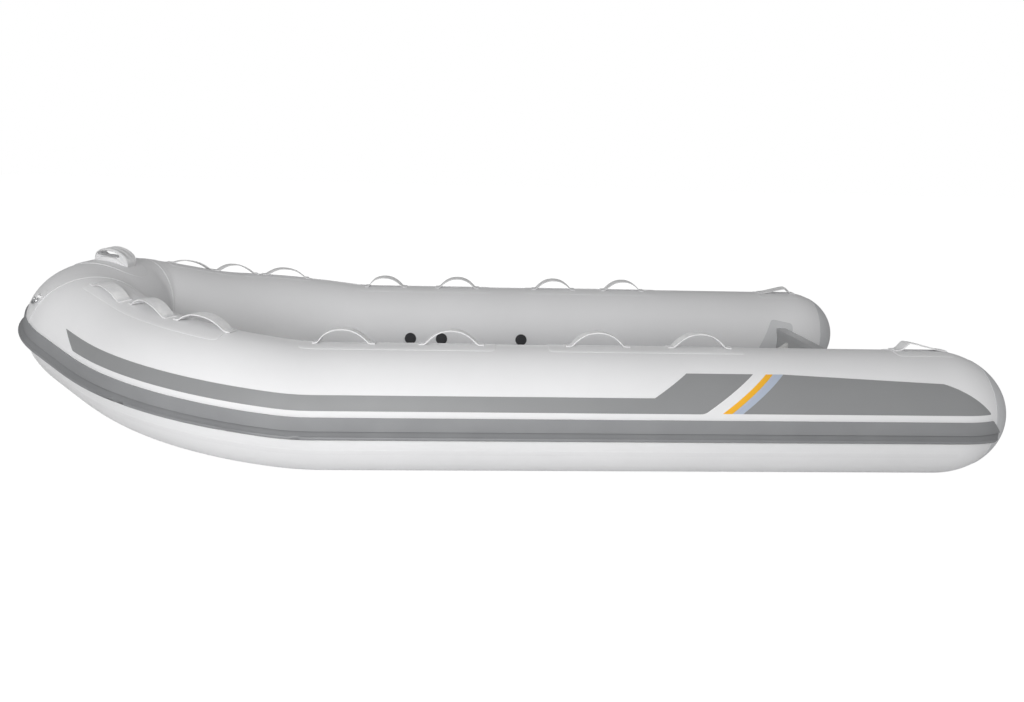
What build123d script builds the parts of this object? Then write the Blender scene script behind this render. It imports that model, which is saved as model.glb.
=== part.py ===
from build123d import *
import os
from math import acos, asin, cos, degrees, radians, sin, sqrt

# Rigid inflatable boat (RIB): inflated tubes in five chambers on a moulded V hull.
# Millimetres. +X forward, +Y to port, +Z up. The origin is amidships on the centreline, at the waterline.
os.makedirs("parts", exist_ok=True)

# ---------------------------------------------------------------- driving dimensions
# Tubes
TUBE_R = 230.0              # radius of the inflated tube
HALF_SPACING = 690.0        # centreline to the axis of a side tube
TUBE_CLEAR_OF_WATER = 45.0  # waterline to the underside of the side tubes
X_DOME = -1672.0            # where the domed stern end of each side tube begins
DOME_STRETCH = 25.0         # the dome stands this much further aft than a half ball
SIDE_RUN = 2248.0           # straight, level run of a side tube's axis
RISE_RADIUS = 1032.0        # bend that turns the axis up towards the bow
RISE_ANGLE = 7.466
SHOULDER_RADIUS = 921.0     # first bend inwards, in the plane of the raised bow
SHOULDER_ANGLE = 35.59
SHEER_RADIUS = 1408.0       # second rise, ahead of the shoulder
SHEER_ANGLE = 7.892
NOSE_CREASE = 25.0          # radius left on the inner side of the nose bend
NOSE_DROP_RADIUS = 500.0    # bend that levels the axis again at the nose
NOSE_FLAT = 48.6            # half of the straight length square across the nose

# Seams and glued strips on the tubes
TAPE_THICK = 1.5            # seam tape and reinforcing patches
TAPE_WIDE = 44.0
SEAM_SIDE = 2500.0          # axis length from the dome to the seam at the shoulder
SEAM_NOSE = 252.0           # axis length from the nose's middle to its seams
CAP_EDGE = 128.0            # the stern cap's edge, this far aft of the dome's beginning
SEAT_GAP = 0.5              # clearance between pieces that end against each other
SUNK = 14.0                 # depth of a fitting's blank before its foot is cut to the tube

# Coloured panels glued to the tube's side: place from the dome, height over the tube's axis
PANEL_THICK = 0.8
STRIPE_LOW = 13.4           # the long stripe's edges, as angles up from outboard
STRIPE_HIGH = 26.6
STRIPE_FROM = 1395.0        # ahead of here the stripe has a constant width
STRIPE_END_LOW = 553.0      # its slanted fore end, measured back from the nose's middle
STRIPE_END_HIGH = 464.0
PANEL_FOOT = 55.0
PANEL_TOP = 176.0
FORE_PANEL = ((743.0, PANEL_TOP), (977.0, PANEL_TOP), (1095.0, 103.0))
FORE_PANEL_REAR = 924.0     # the fore panel's lower rear corner
FORE_PANEL_ROUND = 45.0
ORANGE_STRIPE = (830.0, 862.0, 697.0, 673.0)  # lower edge from and to, upper edge from and to
BLUE_STRIPE = (792.0, 829.5, 672.5, 636.0)
AFT_PANEL_FORE = (791.5, 635.5)               # its slanted fore edge, low and high
AFT_PANEL_SHOULDER = (69.0, 154.0)            # where the upper edge begins to curve down
AFT_PANEL_CURVE = (-20.0, 118.0)
AFT_PANEL_TIP = (-94.0, 60.0)

# Rubbing strake
BAND_TOP = 32.0             # heights over the tube's horizontal plane, measured along the skin
BAND_BOTTOM = -14.0
BAND_THICK = 6.0
RIDGE_BOTTOM = -50.0
RIDGE_OUT = 24.0
RIDGE_TIP = 7.0
STRAKE_END_HIGH = 106.0     # pointed stern end: aft of the dome's beginning, along its upper edge,
STRAKE_END_TIP = 150.0      # at its tip
STRAKE_END_LOW = 88.0       # and along its lower edge

# Webbing hand loops, in groups that share a glued strip. Places are measured along the axis from the
# dome, or back from the nose's middle where they are negative.
SIDE_LEAN = 94.0            # angle up from outboard: a little inboard of the tube's top
BOW_LEAN = 84.0
LOOP_GROUPS = (             # name, strip's angle, strip past the last feet, loops: place, angle, span, height
    ("aft", SIDE_LEAN, 50.0, ((913.0, SIDE_LEAN, 206.0, 56.0), (1270.0, SIDE_LEAN, 206.0, 56.0))),
    ("middle", SIDE_LEAN, 50.0, ((1810.0, SIDE_LEAN, 206.0, 56.0), (2172.0, SIDE_LEAN, 206.0, 56.0))),
    ("bow", BOW_LEAN, 3.0, ((-940.0, 88.0, 192.0, 46.0), (-690.0, 85.0, 192.0, 46.0),
                            (-445.0, 80.0, 192.0, 34.0))),
)
WEB_THICK = 3.0
WEB_WIDE = 50.0
FOOT_LONG = 22.0
STRIP_THICK = 2.0
STRIP_WIDE = 140.0
STRIP_PAST = 8.0            # stern and nose strips past the feet
STERN_LOOP_PLACE = 104.0
STERN_LOOP_SPAN = 160.0
STERN_LOOP_HIGH = 38.0
STERN_LOOP_PEAK = 45.0      # the slack loop's peak, ahead of its middle
STERN_LOOP_CREST = 14.0     # half length of its crest
STERN_LOOP_DROP = 5.0       # from the crest's top to its ends
NOSE_LOOP_SPAN = 190.0
NOSE_LOOP_HIGH = 62.0
NOSE_LOOP_WIDE = 118.0
NOSE_LOOP_LEAN = -5.0
NOSE_STRIP_MARGIN = 14.0

# Fittings on the tubes
RING_FROM_NOSE = 252.0      # towing ring on the bow, back along the axis from the nose's middle
RING_ANGLE = 33.0           # and up from outboard
RING_PATCH_R = 38.0
RING_R = 17.0
RING_ROD_R = 3.5
RING_CLEAR = 0.6            # ring over its patch
RING_WEB_LONG = 24.0
RING_WEB_WIDE = 16.0
RING_WEB_THICK = 3.0
VALVE_PLACES = (1471.0, 1882.0, 2041.0)
VALVE_ANGLE = 181.0
VALVE_FLANGE_R = 29.0
VALVE_CAP_R = 20.0
VALVE_FLANGE_OUT = 4.0
VALVE_CAP_OUT = 10.0

# Hull
KEEL_LINE = (               # place along the tube's axis, height of the keel
    (119.0, -128.0),
    (1144.0, -146.0),
    (2047.0, -150.0),
    (2443.0, -138.0),
    (2744.0, -100.0),
    (2944.0, -52.0),
    (3118.0, 8.0),
    (3275.0, 84.0),
    (3389.0, 158.0),
)
CHINE_ANGLE = 60.0          # the chine sits under the tube, this far below its axis on the inboard side
CHINE_GAP = 12.0
CHINE_FLAT = 46.0           # level tread along the chine
CHINE_LEAST = 24.0          # half breadth at the chine that is left at the stem
CHINE_SKEW_LEAST = 0.3      # limit on how far a turned tube widens the cut across it
RAIL_PLACE = 0.52           # spray rail, as a share of the half breadth
RAIL_WIDE = 30.0
RAIL_FADE = 0.13            # and no wider than this share, which fades it out at the bow
SIDE_TUCK = 20.0            # the hull's side ends this far inboard of the tube's axis
KEEL_GUARD_WIDE = 44.0
KEEL_GUARD_THICK = 9.0
DECK_Z = 112.0              # top of the sole
LINER_THICK = 10.0
BOW_STEP_X = 870.0          # foot of the raised bow deck's riser
BOW_STEP_RUN = 40.0
BOW_STEP_Z = 236.0
PAD_EDGE = 70.0             # bare border round the non-slip field
PAD_THICK = 3.0
BOND_WIDE = 60.0            # glued tape between sole and tubes
BOND_GAP = 0.4              # in degrees, from the sole's edge

# Transom
TRANSOM_THICK = 42.0
TRANSOM_TOP = 345.0
CAP_LIP = 22.0              # the cap moulding comes this far down both faces
CAP_THICK = 5.0
MOTOR_PAD_WIDE = 312.0
MOTOR_PAD_HIGH = 190.0
MOTOR_PAD_THICK = 8.0
MOTOR_PAD_GAP = 4.0         # below the cap's lip
MOTOR_PAD_ROUND = 22.0
KNEE_Y = 330.0
KNEE_LONG = 230.0
KNEE_HIGH = 190.0
KNEE_TOE = 20.0
KNEE_THICK = 26.0
DRAIN_Y = 210.0
DRAIN_Z = 138.0
DRAIN_BORE = 24.0
DRAIN_WALL = 3.0
DRAIN_FLANGE_R = 25.0
DRAIN_FLANGE = 4.0
EYE_Y = 400.0
EYE_Z = 150.0
EYE_PLATE = 60.0
EYE_PLATE_THICK = 4.0
EYE_PLATE_ROUND = 10.0
EYE_R = 18.0
EYE_ROD_R = 4.5
PATCH_FORE_TOP = 29.0       # reinforcing patches on the tubes: past the transom's faces, high and low,
PATCH_FORE_FOOT = 120.0
PATCH_AFT = 41.0
PATCH_OVER = 49.0           # over the transom's top edge at the fore corner,
PATCH_OVER_AFT = 28.0       # and at the aft one
PATCH_OVER_BOND = 18.0      # their foot, over the tape that bonds the sole
PATCH_ROUND = 22.0

AXIS_Z = TUBE_CLEAR_OF_WATER + TUBE_R
DOME_LONG = TUBE_R + DOME_STRETCH
NOSE_RADIUS = TUBE_R + NOSE_CREASE
SHORTEST = 0.001            # stretches of axis shorter than this are left out
FAR = 3000.0                # reach of the blanks that cut or bound other shapes


# ---------------------------------------------------------------- the tube's axis
class Station:
    """A place on the port tube's axis: point, direction forward, outboard and up."""

    def __init__(self, point, ahead, out, up):
        self.point, self.ahead, self.out, self.up = point, ahead, out, up

    def plane(self):
        """Section plane: local x points outboard, local y up."""
        return Plane(origin=self.point, x_dir=self.out, z_dir=self.ahead)

    def turned(self, centre, axis, angle):
        """The station carried round an axis through the centre."""
        line = Axis(centre, axis)
        return Station(
            centre + (self.point - centre).rotate(line, angle),
            self.ahead.rotate(line, angle),
            self.out.rotate(line, angle),
            self.up.rotate(line, angle),
        )


class Piece:
    """One stretch of the axis: a straight run, a rise or fall in its upright plane, or a turn inwards."""

    def __init__(self, kind, start, size, angle=0.0):
        self.kind, self.start, self.size, self.angle = kind, start, size, angle
        self.length = size if kind == "run" else size * radians(angle)
        if kind == "rise":
            self.centre, self.axis = start.point + start.up * size, start.out * -1
        if kind == "fall":
            self.centre, self.axis = start.point - start.up * size, start.out
        if kind == "turn":
            self.centre, self.axis = start.point - start.out * size, start.up * -1

    def station(self, along):
        """The station this far from the piece's start."""
        if self.kind == "run":
            here = self.start
            return Station(here.point + here.ahead * along, here.ahead, here.out, here.up)
        return self.start.turned(self.centre, self.axis, degrees(along / self.size))

    def solid(self, section, begin, end):
        """The section carried along the piece from begin to end."""
        here = self.station(begin)
        face = here.plane() * section
        if self.kind == "run":
            return extrude(face, amount=end - begin, dir=here.ahead)
        return revolve(face, Axis(self.centre, self.axis), degrees((end - begin) / self.size))


def laid(start, layout):
    """Pieces laid end to end from a station, and the station where they end."""
    pieces = []
    for kind, size, angle in layout:
        pieces.append(Piece(kind, start, size, angle))
        start = pieces[-1].station(pieces[-1].length)
    return pieces, start


def tube_axis():
    """The port tube's axis, from the beginning of its domed stern to the middle of the nose."""
    start = Station(Vector(X_DOME, HALF_SPACING, AXIS_Z), Vector(1, 0, 0), Vector(0, 1, 0), Vector(0, 0, 1))
    side = (  # kind, length or radius, angle
        ("run", SIDE_RUN, 0),
        ("rise", RISE_RADIUS, RISE_ANGLE),
        ("turn", SHOULDER_RADIUS, SHOULDER_ANGLE),
        ("rise", SHEER_RADIUS, SHEER_ANGLE),
    )
    pieces, cheek = laid(start, side)

    # The nose bend and the drop bring the axis level and square to the centreline. The straight
    # cheek ahead of them takes up the breadth that is left.
    drop_angle = degrees(asin(cheek.up.Y))
    nose_angle = degrees(acos(-cheek.ahead.Y / cos(radians(drop_angle))))
    nose = (("turn", NOSE_RADIUS, nose_angle), ("fall", NOSE_DROP_RADIUS, drop_angle))
    breadth_left = laid(cheek, nose)[1].point.Y - NOSE_FLAT
    cheek_run = breadth_left / -cheek.ahead.Y
    closing = (("run", cheek_run, 0), *nose, ("run", NOSE_FLAT, 0))
    return pieces + laid(cheek, closing)[0]


AXIS_PIECES = tube_axis()
AXIS_LENGTH = sum(piece.length for piece in AXIS_PIECES)


def from_dome(place):
    """A place as a length along the axis from the dome; a negative one is measured back from the nose."""
    return place if place >= 0 else AXIS_LENGTH + place


def station_at(place):
    """The station at a length along the axis."""
    for piece in AXIS_PIECES:
        if place <= piece.length + 1e-6 or piece is AXIS_PIECES[-1]:
            return piece.station(place)
        place -= piece.length


def along(section, begin, end):
    """A section carried along the axis between two lengths."""
    solids, offset = [], 0.0
    for piece in AXIS_PIECES:
        low = max(begin - offset, 0.0)
        high = min(end - offset, piece.length)
        if high - low > SHORTEST:
            solids.append(piece.solid(section, low, high))
        offset += piece.length
    return join(solids)


def join(solids):
    """One shape of several that touch or overlap."""
    whole = solids[0]
    for other in solids[1:]:
        whole = whole + other
    return whole


def dome_body(thick=0.0):
    """The domed stern, or that shape grown by a skin's thickness."""
    start = AXIS_PIECES[0].start
    long, radius = DOME_LONG + thick, TUBE_R + thick
    aft_quarter = Ellipse(long, radius) & Pos(-long / 2, radius / 2) * Rectangle(long, radius)
    return revolve(Plane(start.point) * aft_quarter, Axis(start.point, start.ahead), 360)


def round_dome(section, reach):
    """A section carried aft round the dome's beam, on the arc that hugs the dome there."""
    start = AXIS_PIECES[0].start
    hug_radius = DOME_LONG ** 2 / TUBE_R
    centre = start.point + start.out * (TUBE_R - hug_radius)
    sweep = degrees(asin(reach / hug_radius))
    return revolve(start.plane() * section, Axis(centre, start.up), sweep) - dome_body()


def side_prism(outline, inner=0.0):
    """An outline seen from the side, as corners or a face in (x, z), carried outboard across the port half."""
    face = make_face(Polyline(*outline, close=True)) if isinstance(outline, list) else outline
    return Pos(0, inner, 0) * extrude(Plane.XZ * face, amount=-FAR)


def to_starboard(shape):
    return mirror(shape, about=Plane.XZ)


# ---------------------------------------------------------------- sections across the tube
def polar(radius, angle):
    return (radius * cos(radians(angle)), radius * sin(radians(angle)))


def sector(inner, outer, start, stop):
    """A ring's part between two angles, measured upwards from outboard."""
    middle = (start + stop) / 2
    return make_face([
        ThreePointArc(polar(inner, start), polar(inner, middle), polar(inner, stop)),
        Line(polar(inner, stop), polar(outer, stop)),
        ThreePointArc(polar(outer, stop), polar(outer, middle), polar(outer, start)),
        Line(polar(outer, start), polar(inner, start)),
    ])


def skin_angle(length):
    """The angle that a length along the tube's skin covers."""
    return degrees(length / TUBE_R)


def ring(thick):
    return Circle(TUBE_R + thick) - Circle(TUBE_R)


def ridge_section(inner=TUBE_R):
    """The ridge: a blunt nose on the tube's skin, under the band."""
    low, high = skin_angle(RIDGE_BOTTOM), skin_angle(BAND_BOTTOM)
    middle = (low + high) / 2
    tip_half = degrees(RIDGE_TIP / (TUBE_R + RIDGE_OUT))
    shoulder = TUBE_R + RIDGE_OUT - RIDGE_TIP
    return make_face([
        ThreePointArc(polar(inner, low), polar(inner, middle), polar(inner, high)),
        Polyline(polar(inner, high), polar(TUBE_R, high), polar(shoulder, middle + tip_half))
        if inner < TUBE_R else Line(polar(inner, high), polar(shoulder, middle + tip_half)),
        ThreePointArc(polar(shoulder, middle + tip_half), polar(TUBE_R + RIDGE_OUT, middle),
                      polar(shoulder, middle - tip_half)),
        Polyline(polar(shoulder, middle - tip_half), polar(TUBE_R, low), polar(inner, low))
        if inner < TUBE_R else Line(polar(shoulder, middle - tip_half), polar(inner, low)),
    ])


def band_section(inner=TUBE_R):
    """The flat band above the ridge."""
    return sector(inner, TUBE_R + BAND_THICK, skin_angle(BAND_BOTTOM), skin_angle(BAND_TOP))


# ---------------------------------------------------------------- tubes
NODES = {}


def keep(name, shape):
    NODES[name] = shape


def keep_pair(name, shape):
    """A port piece and its mirror image, as a node each."""
    keep("port_" + name, shape)
    keep("starboard_" + name, to_starboard(shape))


def keep_both(name, shape):
    """Small like pieces of both sides in one node."""
    keep(name, join([shape, to_starboard(shape)]))


def build_tubes():
    disc = Circle(TUBE_R)
    seam_nose = AXIS_LENGTH - SEAM_NOSE
    side = along(disc, 0, SEAM_SIDE)
    shoulder = along(disc, SEAM_SIDE, seam_nose)
    half_nose = along(disc, seam_nose, AXIS_LENGTH)
    keep_pair("side_tube", side)
    keep_pair("bow_tube", shoulder)
    keep("bow_nose_tube", half_nose + to_starboard(half_nose))

    # Domed stern, with the cap glued over its end.
    cap_x = X_DOME - CAP_EDGE
    aft_of_edge = side_prism([(cap_x, -FAR), (cap_x, FAR), (-FAR, FAR), (-FAR, -FAR)])
    cap = (dome_body(TAPE_THICK) - dome_body()) & aft_of_edge
    keep_pair("stern_dome", dome_body())
    keep_pair("stern_cap", cap - port_strake())


def build_seam_tapes():
    half = TAPE_WIDE / 2
    place = AXIS_LENGTH - SEAM_NOSE
    section = sector(TUBE_R, TUBE_R + TAPE_THICK, skin_angle(BAND_TOP), 360 + skin_angle(RIDGE_BOTTOM))
    under_patch = skin_plane(from_dome(-RING_FROM_NOSE), RING_ANGLE) * Cylinder(RING_PATCH_R + SEAT_GAP, TUBE_R)
    keep_pair("seam_tapes", along(section, place - half, place + half) - under_patch)


def strake(section_at):
    """A strake carried along the tube and aft round the dome, to a point at its stern end."""
    high, low = AXIS_Z + BAND_TOP, AXIS_Z + RIDGE_BOTTOM
    pointed = side_prism([
        (FAR, FAR), (FAR, -FAR), (X_DOME, -FAR), (X_DOME, low - BAND_TOP), (X_DOME - STRAKE_END_LOW, low),
        (X_DOME - STRAKE_END_TIP, AXIS_Z + BAND_BOTTOM), (X_DOME - STRAKE_END_HIGH, high),
        (X_DOME, high + BAND_TOP), (X_DOME, FAR)])
    stern = round_dome(section_at(TUBE_R - SUNK), STRAKE_END_TIP) & pointed
    return along(section_at(TUBE_R), 0, AXIS_LENGTH) + stern


def port_band():
    return strake(band_section)


def port_ridge():
    return strake(ridge_section)


def port_strake():
    return port_band() + port_ridge()


def build_strakes():
    keep_pair("rubbing_band", port_band())
    keep_pair("rubbing_ridge", port_ridge())


# ---------------------------------------------------------------- coloured panels
def panel(outline):
    """A thin panel on the side tube and its dome, cut to an outline seen from the side."""
    skin = along(ring(PANEL_THICK), 0, STRIPE_FROM) + (dome_body(PANEL_THICK) - dome_body())
    return skin & side_prism(outline, HALF_SPACING)


def beside(place, height):
    """Corner of a panel seen from the side."""
    return X_DOME + place, AXIS_Z + height


def slanted(low_from, low_to, high_from, high_to):
    """A stripe that leans aft between a panel's lower and upper edges."""
    return panel([beside(low_from, PANEL_FOOT), beside(low_to, PANEL_FOOT),
                  beside(high_from, PANEL_TOP), beside(high_to, PANEL_TOP)])


def build_panels():
    # Long stripe that widens to a step at its rear.
    foot, brow = polar(TUBE_R, STRIPE_LOW)[1], polar(TUBE_R, STRIPE_HIGH)[1]
    corners = [beside(FORE_PANEL_REAR, foot), beside(STRIPE_FROM, foot), beside(STRIPE_FROM, brow),
               *[beside(*corner) for corner in reversed(FORE_PANEL)]]
    face = make_face(Polyline(*corners, close=True))
    rear_corner = face.vertices().sort_by_distance((*corners[0], 0))[0]
    step = panel(fillet(rear_corner, FORE_PANEL_ROUND))
    end_low, end_high = from_dome(-STRIPE_END_LOW), from_dome(-STRIPE_END_HIGH)
    stripe = along(sector(TUBE_R, TUBE_R + PANEL_THICK, STRIPE_LOW, STRIPE_HIGH), STRIPE_FROM, end_high)
    low, high = skin_plane(end_low, STRIPE_LOW), skin_plane(end_high, STRIPE_HIGH)
    slant = Plane(origin=low.origin, x_dir=high.origin - low.origin, z_dir=low.z_dir)
    reach = 2 * TUBE_R
    stripe = stripe - slant * Pos(0, reach / 2, 0) * Box(2 * reach, reach, reach / 2)

    # Panel on the stern quarter, which curves down to a corner.
    corners = [beside(AFT_PANEL_TIP[0], PANEL_FOOT), beside(AFT_PANEL_FORE[0], PANEL_FOOT),
               beside(AFT_PANEL_FORE[1], PANEL_TOP), beside(*AFT_PANEL_SHOULDER)]
    edges = [Polyline(*corners), Line(beside(*AFT_PANEL_TIP), corners[0]),
             ThreePointArc(corners[-1], beside(*AFT_PANEL_CURVE), beside(*AFT_PANEL_TIP))]
    quarter = panel(make_face(edges))
    keep_pair("side_panels", join([step + stripe, quarter]))
    keep_both("orange_stripes", slanted(*ORANGE_STRIPE))
    keep_both("blue_stripes", slanted(*BLUE_STRIPE))


# ---------------------------------------------------------------- hand loops
def skin_normal(here, angle):
    """Direction out of the tube at an angle up from outboard."""
    return here.out * cos(radians(angle)) + here.up * sin(radians(angle))


def skin_plane(place, angle, lift=0.0):
    """A plane on the tube's skin: x forward along the axis, z out of the tube."""
    here = station_at(place)
    normal = skin_normal(here, angle)
    return Plane(origin=here.point + normal * (TUBE_R + lift), x_dir=here.ahead, z_dir=normal)


def seat_on_tube(shape, place, reach, lift=0.0):
    """Cuts a piece's underside to the tube's skin."""
    core = along(Circle(TUBE_R + lift), max(place - reach, 0), min(place + reach, AXIS_LENGTH))
    if place + reach > AXIS_LENGTH:
        core = core + to_starboard(core)
    return shape - core


def loop_profile(span, high, peak):
    """The loop from the side: two glued feet and a strap that rises to its peak between them."""
    half, foot, sunk = span / 2, span / 2 + FOOT_LONG, SUNK
    inner = half - WEB_THICK
    return make_face([
        Line((-foot, -sunk), (-foot, WEB_THICK)),
        Line((-foot, WEB_THICK), (-half, WEB_THICK)),
        ThreePointArc((-half, WEB_THICK), (peak, high), (half, WEB_THICK)),
        Line((half, WEB_THICK), (foot, WEB_THICK)),
        Line((foot, WEB_THICK), (foot, -sunk)),
        Line((foot, -sunk), (inner, -sunk)),
        Line((inner, -sunk), (inner, 0)),
        ThreePointArc((inner, 0), (peak, high - WEB_THICK), (-inner, 0)),
        Line((-inner, 0), (-inner, -sunk)),
        Line((-inner, -sunk), (-foot, -sunk)),
    ])


def slack_profile(span, high, peak):
    """A slack loop from the side: it stands up steeply at one foot and lies down to the other."""
    half, foot, sunk = span / 2, span / 2 + FOOT_LONG, SUNK
    inner, crest, drop = half - WEB_THICK, STERN_LOOP_CREST, STERN_LOOP_DROP
    return make_face([
        Line((-foot, -sunk), (-foot, WEB_THICK)),
        Line((-foot, WEB_THICK), (-half, WEB_THICK)),
        Line((-half, WEB_THICK), (peak - crest, high - drop)),
        ThreePointArc((peak - crest, high - drop), (peak, high), (peak + crest, high - drop)),
        Line((peak + crest, high - drop), (half, WEB_THICK)),
        Line((half, WEB_THICK), (foot, WEB_THICK)),
        Line((foot, WEB_THICK), (foot, -sunk)),
        Line((foot, -sunk), (inner, -sunk)),
        Line((inner, -sunk), (inner, 0)),
        Line((inner, 0), (peak + crest - WEB_THICK, high - drop - WEB_THICK)),
        ThreePointArc((peak + crest - WEB_THICK, high - drop - WEB_THICK), (peak, high - WEB_THICK),
                      (peak - crest, high - drop - WEB_THICK)),
        Line((peak - crest, high - drop - WEB_THICK), (-inner, 0)),
        Line((-inner, 0), (-inner, -sunk)),
        Line((-inner, -sunk), (-foot, -sunk)),
    ])


def loop_on(place, angle, profile, span, wide):
    """A webbing loop on its glued strip, its feet cut to the tube's curve."""
    skin = skin_plane(place, angle, STRIP_THICK)
    upright = Plane(origin=skin.origin, x_dir=skin.x_dir, z_dir=skin.x_dir.cross(skin.z_dir))
    strap = extrude(upright * profile, amount=wide / 2, both=True)
    return seat_on_tube(strap, place, span, STRIP_THICK)


def glued_strip(angle, begin, end):
    half = skin_angle(STRIP_WIDE) / 2
    return along(sector(TUBE_R, TUBE_R + STRIP_THICK, angle - half, angle + half), begin, end)


def build_loops():
    strips = []
    for name, strip_angle, past, rows in LOOP_GROUPS:
        loops = []
        for place, angle, span, high in rows:
            loops.append(loop_on(from_dome(place), angle, loop_profile(span, high, 0.0), span, WEB_WIDE))
        margin = rows[0][2] / 2 + FOOT_LONG + past
        begin, end = from_dome(rows[0][0]) - margin, from_dome(rows[-1][0]) + margin
        strips.append(glued_strip(strip_angle, begin, end))
        keep_pair(name + "_hand_loops", join(loops))
    keep_pair("loop_strips", join(strips))

    # The slack loop at the stern, whose aft foot ends where the dome begins.
    margin = STERN_LOOP_SPAN / 2 + FOOT_LONG
    slack = slack_profile(STERN_LOOP_SPAN, STERN_LOOP_HIGH, STERN_LOOP_PEAK)
    keep_both("stern_loop_strips", glued_strip(SIDE_LEAN, SEAT_GAP, STERN_LOOP_PLACE + margin + STRIP_PAST))
    keep_pair("stern_loop", loop_on(STERN_LOOP_PLACE, SIDE_LEAN, slack, STERN_LOOP_SPAN, WEB_WIDE))

    # The carrying handle across the nose.
    reach = NOSE_LOOP_SPAN / 2 + FOOT_LONG + STRIP_PAST
    wide_angle = skin_angle(NOSE_LOOP_WIDE / 2 + NOSE_STRIP_MARGIN)
    centre = 90 + NOSE_LOOP_LEAN
    half_pad = along(sector(TUBE_R, TUBE_R + STRIP_THICK, centre - wide_angle, centre + wide_angle),
                     AXIS_LENGTH - reach, AXIS_LENGTH)
    keep("nose_handle_strip", half_pad + to_starboard(half_pad))
    profile = loop_profile(NOSE_LOOP_SPAN, NOSE_LOOP_HIGH, 0.0)
    keep("nose_handle", loop_on(AXIS_LENGTH, centre, profile, NOSE_LOOP_SPAN, NOSE_LOOP_WIDE))


# ---------------------------------------------------------------- fittings on the tubes
def build_tube_fittings():
    place = from_dome(-RING_FROM_NOSE)
    plane = skin_plane(place, RING_ANGLE)
    reach = 4 * RING_PATCH_R
    shell = along(ring(STRIP_THICK), place - reach, AXIS_LENGTH)
    patch = shell & plane * Cylinder(RING_PATCH_R, TUBE_R / 2)
    web_high = RING_ROD_R * 2 + RING_WEB_THICK
    web = plane * Box(RING_WEB_LONG, RING_WEB_WIDE, 2 * (web_high + STRIP_THICK))
    hoop_height = STRIP_THICK + RING_ROD_R + RING_CLEAR
    hoop = plane * Pos(0, RING_R, hoop_height) * Torus(RING_R, RING_ROD_R)
    web = seat_on_tube(web, place, reach, STRIP_THICK) - hoop
    keep_both("towing_ring_patches", patch)
    keep_both("towing_ring_webs", web)
    keep_pair("towing_ring", hoop)

    flanges, caps = [], []
    for place in VALVE_PLACES:
        plane = skin_plane(place, VALVE_ANGLE)
        flange = plane * Pos(0, 0, (VALVE_FLANGE_OUT - SUNK) / 2) * Cylinder(
            VALVE_FLANGE_R, VALVE_FLANGE_OUT + SUNK)
        high = VALVE_CAP_OUT - VALVE_FLANGE_OUT
        cap = plane * Pos(0, 0, VALVE_FLANGE_OUT + high / 2) * Cylinder(VALVE_CAP_R, high)
        flanges.append(seat_on_tube(flange, place, 2 * VALVE_FLANGE_R))
        caps.append(cap)
    keep_both("valve_bodies", join(flanges))
    keep_both("valve_caps", join(caps))


# ---------------------------------------------------------------- hull and deck
X_TRANSOM_FRONT = station_at(KEEL_LINE[0][0]).point.X
X_TRANSOM = X_TRANSOM_FRONT - TRANSOM_THICK


def all_tubes():
    """Every tube as one body, which hull, sole and transom are shaped round."""
    port = along(Circle(TUBE_R), 0, AXIS_LENGTH)
    return port + to_starboard(port)


def hull_section(place, keel):
    """Half section of the hull: its X, then keel, spray rail, chine tread and the side up into the tube."""
    here = station_at(place)
    lengthen = 1 / max(here.ahead.X, CHINE_SKEW_LEAST)
    depth = TUBE_R + CHINE_GAP
    chine_y = max(here.point.Y - depth * cos(radians(CHINE_ANGLE)) * lengthen, CHINE_LEAST)
    chine_z = here.point.Z - depth * sin(radians(CHINE_ANGLE))
    side_y = max(here.point.Y - SIDE_TUCK, chine_y)
    tread = min(CHINE_FLAT, chine_y * RAIL_FADE)
    rail = min(RAIL_WIDE, chine_y * RAIL_FADE)
    bottom_y = chine_y - tread

    def rise(y):
        return keel + (chine_z - keel) * y / bottom_y

    rail_y = chine_y * RAIL_PLACE
    return here.point.X, [
        (0, keel), (rail_y, rise(rail_y)), (rail_y + rail, rise(rail_y)), (rail_y + rail, rise(rail_y + rail)),
        (bottom_y, chine_z), (chine_y, chine_z), (side_y, here.point.Z)]


def whole_section(x, half):
    """Face across the boat from a half section."""
    left = [(-y, z) for y, z in reversed(half) if y > 0]
    plane = Plane(origin=(x, 0, 0), x_dir=(0, 1, 0), z_dir=(1, 0, 0))
    return plane * make_face(Polyline(*(half + left), close=True))


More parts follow.
